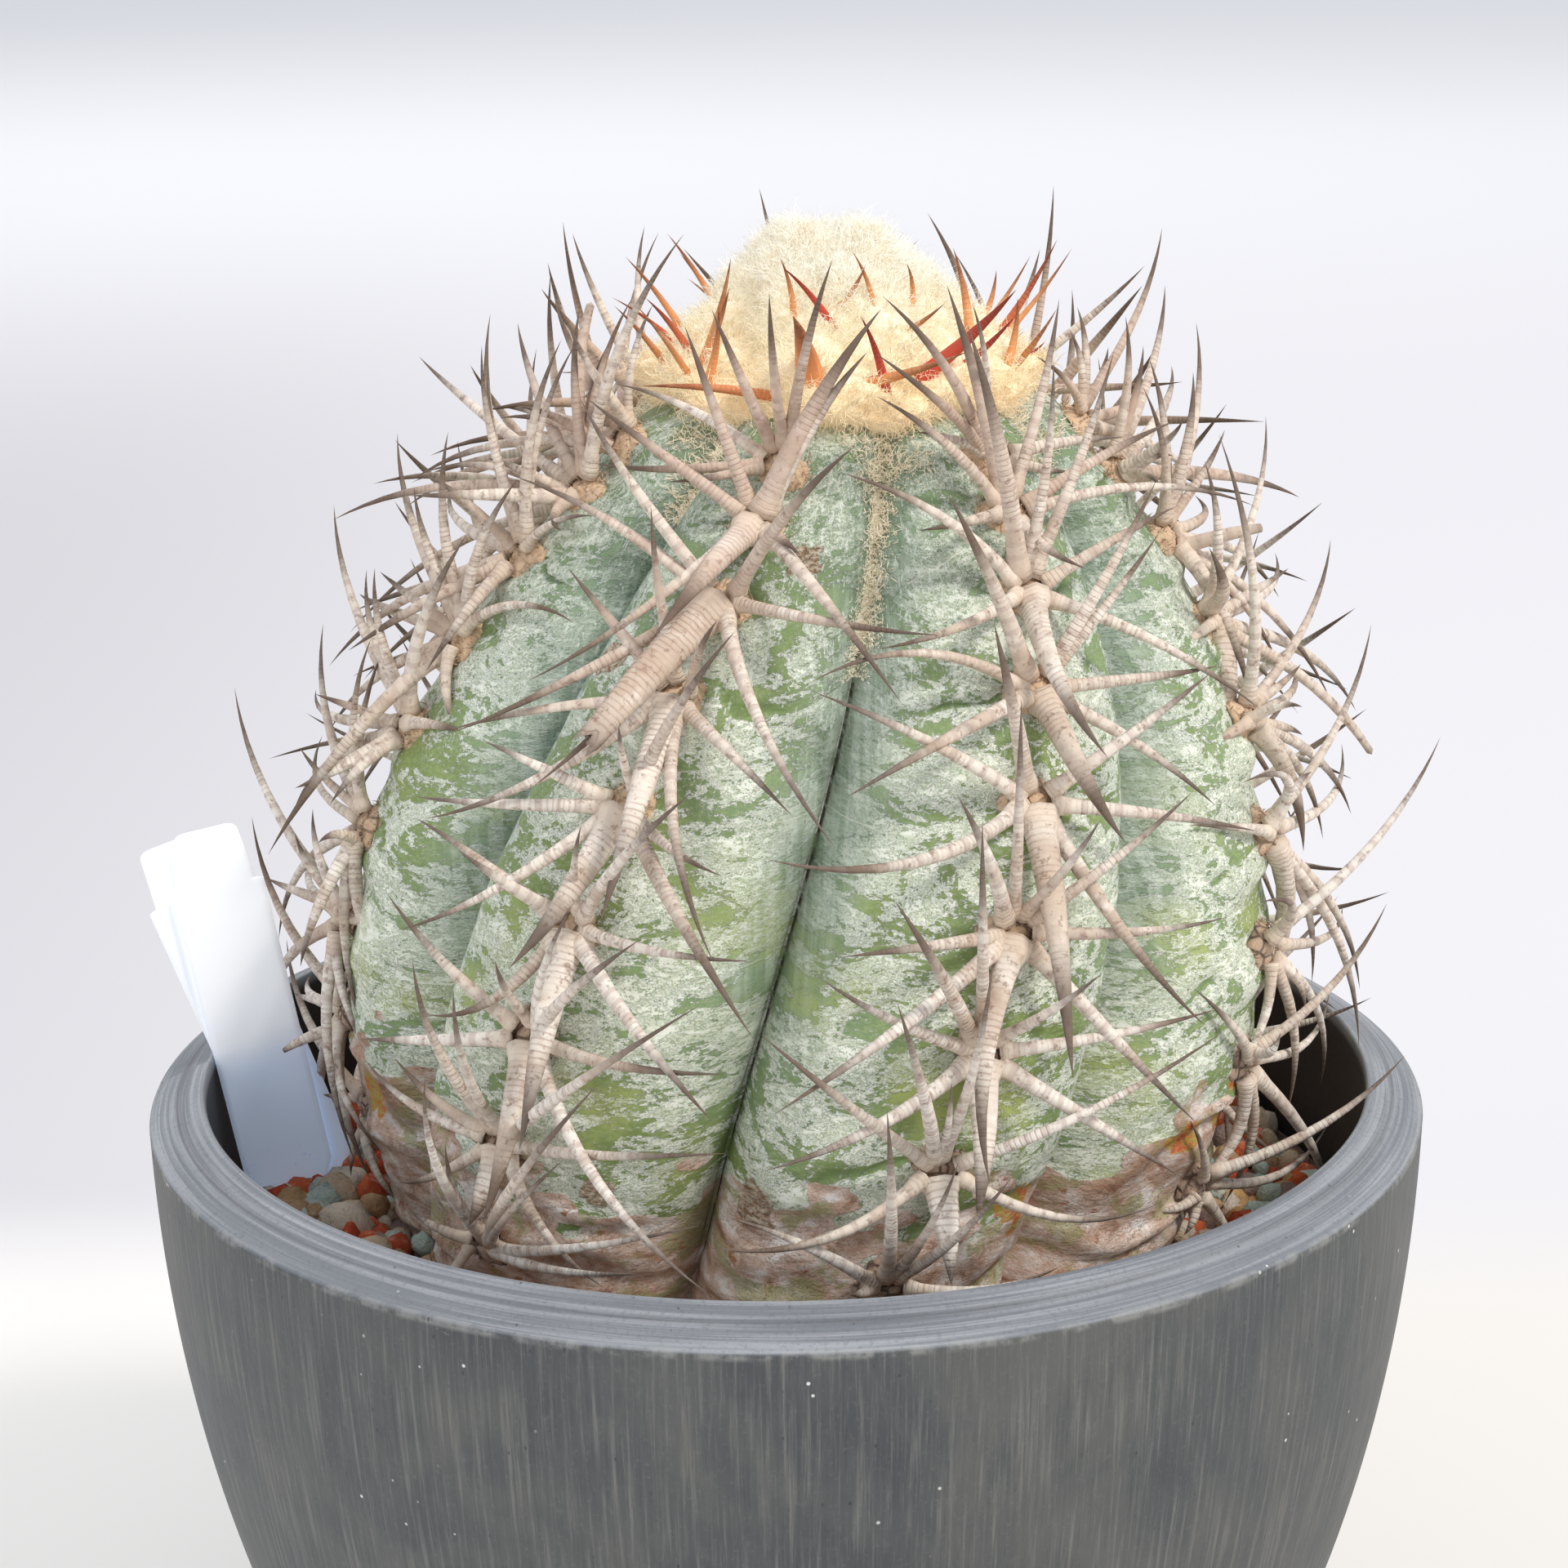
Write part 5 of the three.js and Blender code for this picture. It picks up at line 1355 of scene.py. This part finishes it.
def makeGravel():
    # a bed between stem and wall, and stones strewn over it in sunflower order
    p = gravelForm
    draw = np.random.default_rng(52)
    heap = Heap()
    columns, level, gap = p["bedAround"], p["level"], p["stemGap"]
    wall = potForm["innerRadius"] * math.sqrt(1 - ((rimHeight - level) / potForm["innerDepth"]) ** 2) - 0.6
    x, y = axisAt(-21.0)
    bearing = np.linspace(0, fullTurn, columns, endpoint=False)
    rings = []
    # middle, radius and height of the bed's rings, from under the stem out, up and back
    for middle, radius, height in (((x, y), gap - 3, -p["bedDepth"]), ((0, 0), wall, -p["bedDepth"]),
                                   ((0, 0), wall, -0.9), ((0, 0), wall - 14, -0.5), ((x, y), gap, -0.5)):
        rings.append(np.stack([middle[0] + radius * np.sin(bearing), middle[1] - radius * np.cos(bearing),
                               0 * bearing + level + height], -1))
    k = np.arange(columns)
    after, last = (k + 1) % columns, (len(rings) - 1) * columns
    close = np.stack([k + last, after + last, after, k], -1)
    heap.put(np.concatenate(rings), [gridFaces(len(rings), columns), close], 0, tone=0.34, shade=1.0)
    n = p["spots"]
    index = np.arange(n)
    radius = np.sqrt(gap ** 2 + ((wall - 1.5) ** 2 - gap ** 2) * (index + 0.5) / n) + draw.normal(0, 0.6, n)
    angle = index * p["golden"] + draw.normal(0, 0.05, n)
    px, py = radius * np.sin(angle), -radius * np.cos(angle)
    size = draw.uniform(*p["size"], n)
    size = size * np.where(draw.uniform(0, 1, n) < p["big"], p["bigger"], 1.0)
    # stones stand clear of the stem's skin and of the wall
    turn = (np.arctan2(px - x, -(py - y)) - bearingAt(0, 0.0, -20.0)) / (fullTurn / stem["ribs"])
    skin = skinDistance(2 * (turn - np.round(turn)), -20.0, crestRadius(-20.0))
    clear = (np.hypot(px - x, py - y) > skin + size * 0.35) & (np.hypot(px, py) < wall - size * 0.9)
    places = np.stack([px, py, level + draw.uniform(-1.4, 1.5, n)], -1)
    putStones(heap, draw, places[clear], size[clear])
    return heap


stonePaints = {
    "sand": (222, 200, 172), "tan": (196, 160, 122), "brown": (176, 146, 130), "dark": (150, 128, 122),
    "cream": (230, 218, 200), "aqua": (196, 216, 206), "teal": (156, 184, 176), "ochre": (222, 178, 122),
    "orange": (226, 112, 70), "brick": (206, 92, 58), "vein": (226, 212, 196), "grime": (116, 94, 80),
    "chalk": (236, 228, 216), "shade": (130, 112, 100),
}


def gravelStone():
    r = Recipe("gravelStone", stonePaints)
    grain = r.noise(r.place, 800.0, 5.0, 0.72)
    vein = r.noise(r.place, 260.0, 3.0, 0.6, 1.0)
    kinds = [(0.0, "sand"), (0.13, "tan"), (0.24, "brown"), (0.33, "dark"), (0.41, "cream"), (0.50, "aqua"),
             (0.61, "teal"), (0.69, "ochre"), (0.77, "orange"), (0.89, "brick")]
    colour = r.coats(
        r.ramp(r.own("tone"), kinds, "CONSTANT"),
        (r.between(vein, 0.55, 0.7) * 0.4, "vein"),
        (r.between(grain, 0.5, 0.3) * 0.3, "grime"),
        (r.between(grain, 0.58, 0.72) * 0.3, "chalk"),
        (r.own("shade") * 0.1, "shade"))
    return r.finish(colour, 0.92, r.bump(grain + vein, 0.8), specular=0.2)


makeGravel().piece("gravelDressing", [gravelStone()], "gravel", ["gravel_top_dressing"])

print("stage: labels")
labelForm = {
    "foot": (-65.4, 8.0, rimHeight - 17.2),
    "along": (-0.17, -0.27, 1.0),
    "across": (1.0, 0.22, 0.2294),
    "thickness": 0.6,
    "gap": 0.3,
    "width": 12.0,
    "headLength": 8.75,
    "shoulder": 1.0,
    "taper": 0.9,
    "pointHalf": 0.9,
    "buried": 13.0,
    "corner": 1.1,
    "back": {"length": 53.8, "sideStep": -0.32, "turn": 0.096},
    "front": {"length": 54.6, "sideStep": -3.34, "turn": -0.049},
}
labelAxes = [unit(np.array(labelForm["across"])), unit(np.array(labelForm["along"]))]
labelAxes.append(np.cross(*labelAxes))


def makeLabel(form, layer):
    # A sheet of rows up the label. Half its width grows from the point to full at the foot, steps in at the
    # neck, draws in up the head and rounds off at its corners. The label is then turned about its foot.
    p, length = labelForm, form["length"]
    neck, full = length - p["headLength"], p["width"] / 2
    v = np.unique(np.concatenate([
        np.linspace(-p["buried"], neck - 1, 50), neck + np.array([-0.25, 0.0, 0.15, 0.4]),
        np.linspace(neck + 1, length - p["corner"], 8),
        length - p["corner"] * (1 - np.sin(np.linspace(0, np.pi / 2, 8)))]))
    half = full + (p["pointHalf"] - full) * np.clip(-v / p["buried"], 0, 1)
    half = half - p["shoulder"] * smoothStep(-0.25, 0.15, v - neck)
    half = half - p["taper"] * np.clip((v - neck) / p["headLength"], 0, 1)
    half = half - p["corner"] * (1 - np.sqrt(1 - np.clip(1 - (length - v) / p["corner"], 0, 1) ** 2))
    u = np.linspace(-1, 1, 15)
    thick = p["thickness"] / 2 * (1 - 0.5 * np.abs(u) ** 24)
    depth = layer * (p["thickness"] + p["gap"]) + np.concatenate([thick, -thick])
    edge, height, depth = np.broadcast_arrays(np.concatenate([u, u[::-1]]) * half[:, None], v[:, None], depth)
    c, s = math.cos(form["turn"]), math.sin(form["turn"])
    flat = np.stack([form["sideStep"] + edge * c - height * s, edge * s + height * c, depth], -1)
    rows, columns = height.shape
    cap = np.arange(columns)[None]
    faces = [gridFaces(rows, columns)[:, ::-1], cap, cap[:, ::-1] + (rows - 1) * columns]
    return Heap().put(np.array(p["foot"]) + flat @ np.array(labelAxes), faces, level=np.repeat(v, columns))


labelPaints = {
    "white": (254, 254, 255), "blueWhite": (216, 232, 255), "cloud": (222, 226, 234),
    "dust": (150, 126, 104), "glow": (206, 226, 255),
}


def labelPlastic():
    r = Recipe("labelPlastic", labelPaints)
    level = r.own("level")
    grain = r.noise(r.place, 500.0)
    cloud = r.noise(r.place, 45.0, 4.0, 0.6)
    dust = r.between(r.noise(r.place, 700.0, 3.0, 0.7), 0.6, 0.75) * r.between(level, 6.0, -2.0)
    colour = r.coats(
        "white",
        # the pale blue over the label's lower part is a painted shadow of the pot's rim
        (r.between(level + 4.0 * (cloud - 0.5), 23.0, 16.0), "blueWhite"),
        (r.between(cloud, 0.55, 0.8) * 0.1, "cloud"),
        (dust * 0.6, "dust"))
    # the label's glow is painted light: it glows though it is no lamp
    return r.finish(colour, 0.4 + 0.15 * cloud, r.bump(grain, 0.03), specular=0.4, glow=0.19)


plastic = labelPlastic()
makeLabel(labelForm["back"], 0).piece("labelBack", [plastic], "label_plastic", ["plant_label_back"])
makeLabel(labelForm["front"], 1).piece("labelFront", [plastic], "label_plastic", ["plant_label_front"])

print("stage: floor")
floorReach = 8.0  # metres
floorPaints = {
    "near": (219, 216, 212), "nearLeft": (242, 239, 235), "behind": (210, 209, 213),
    "behindLeft": (191, 190, 194), "far": (226, 226, 229), "farthest": (244, 244, 247),
}


def makeFloor():
    # one very large flat floor, warm and pale near the pot and cooler behind it; painted light lifts the
    # pot's shadow to its near left, painted shade darkens the floor behind it to the left, and painted light
    # brightens the far floor where the lamps' light falls off
    mesh = bpy.data.meshes.new("floor")
    corners = [(x * floorReach, y * floorReach, 0) for x, y in ((-1, -1), (1, -1), (1, 1), (-1, 1))]
    mesh.from_pydata(corners, [], [(0, 1, 2, 3)])
    floor = bpy.data.objects.new("floor", mesh)
    bpy.context.scene.collection.objects.link(floor)
    r = Recipe("paleFloor", floorPaints)
    side, far = r.part(0), r.part(1)
    # behindLeft: painted shade, darker behind the pot to the left
    behind = r.coats("behind", (r.between(side, 0.10, -0.34) * r.between(far, 2.2, 0.7), "behindLeft"))
    colour = r.coats(
        # nearLeft: painted light over the pot's shadow; far and farthest: painted light against the lamps'
        # fall-off
        r.coats("near", (r.between(side, 0.05, -0.12), "nearLeft")),
        (r.between(far, 0.15, 0.24), behind),
        (r.between(far, 0.9, 2.7), "far"),
        (r.between(far, 2.7, 6.0), "farthest"))
    mesh.materials.append(r.finish(colour, 0.9, specular=0.1))


makeFloor()
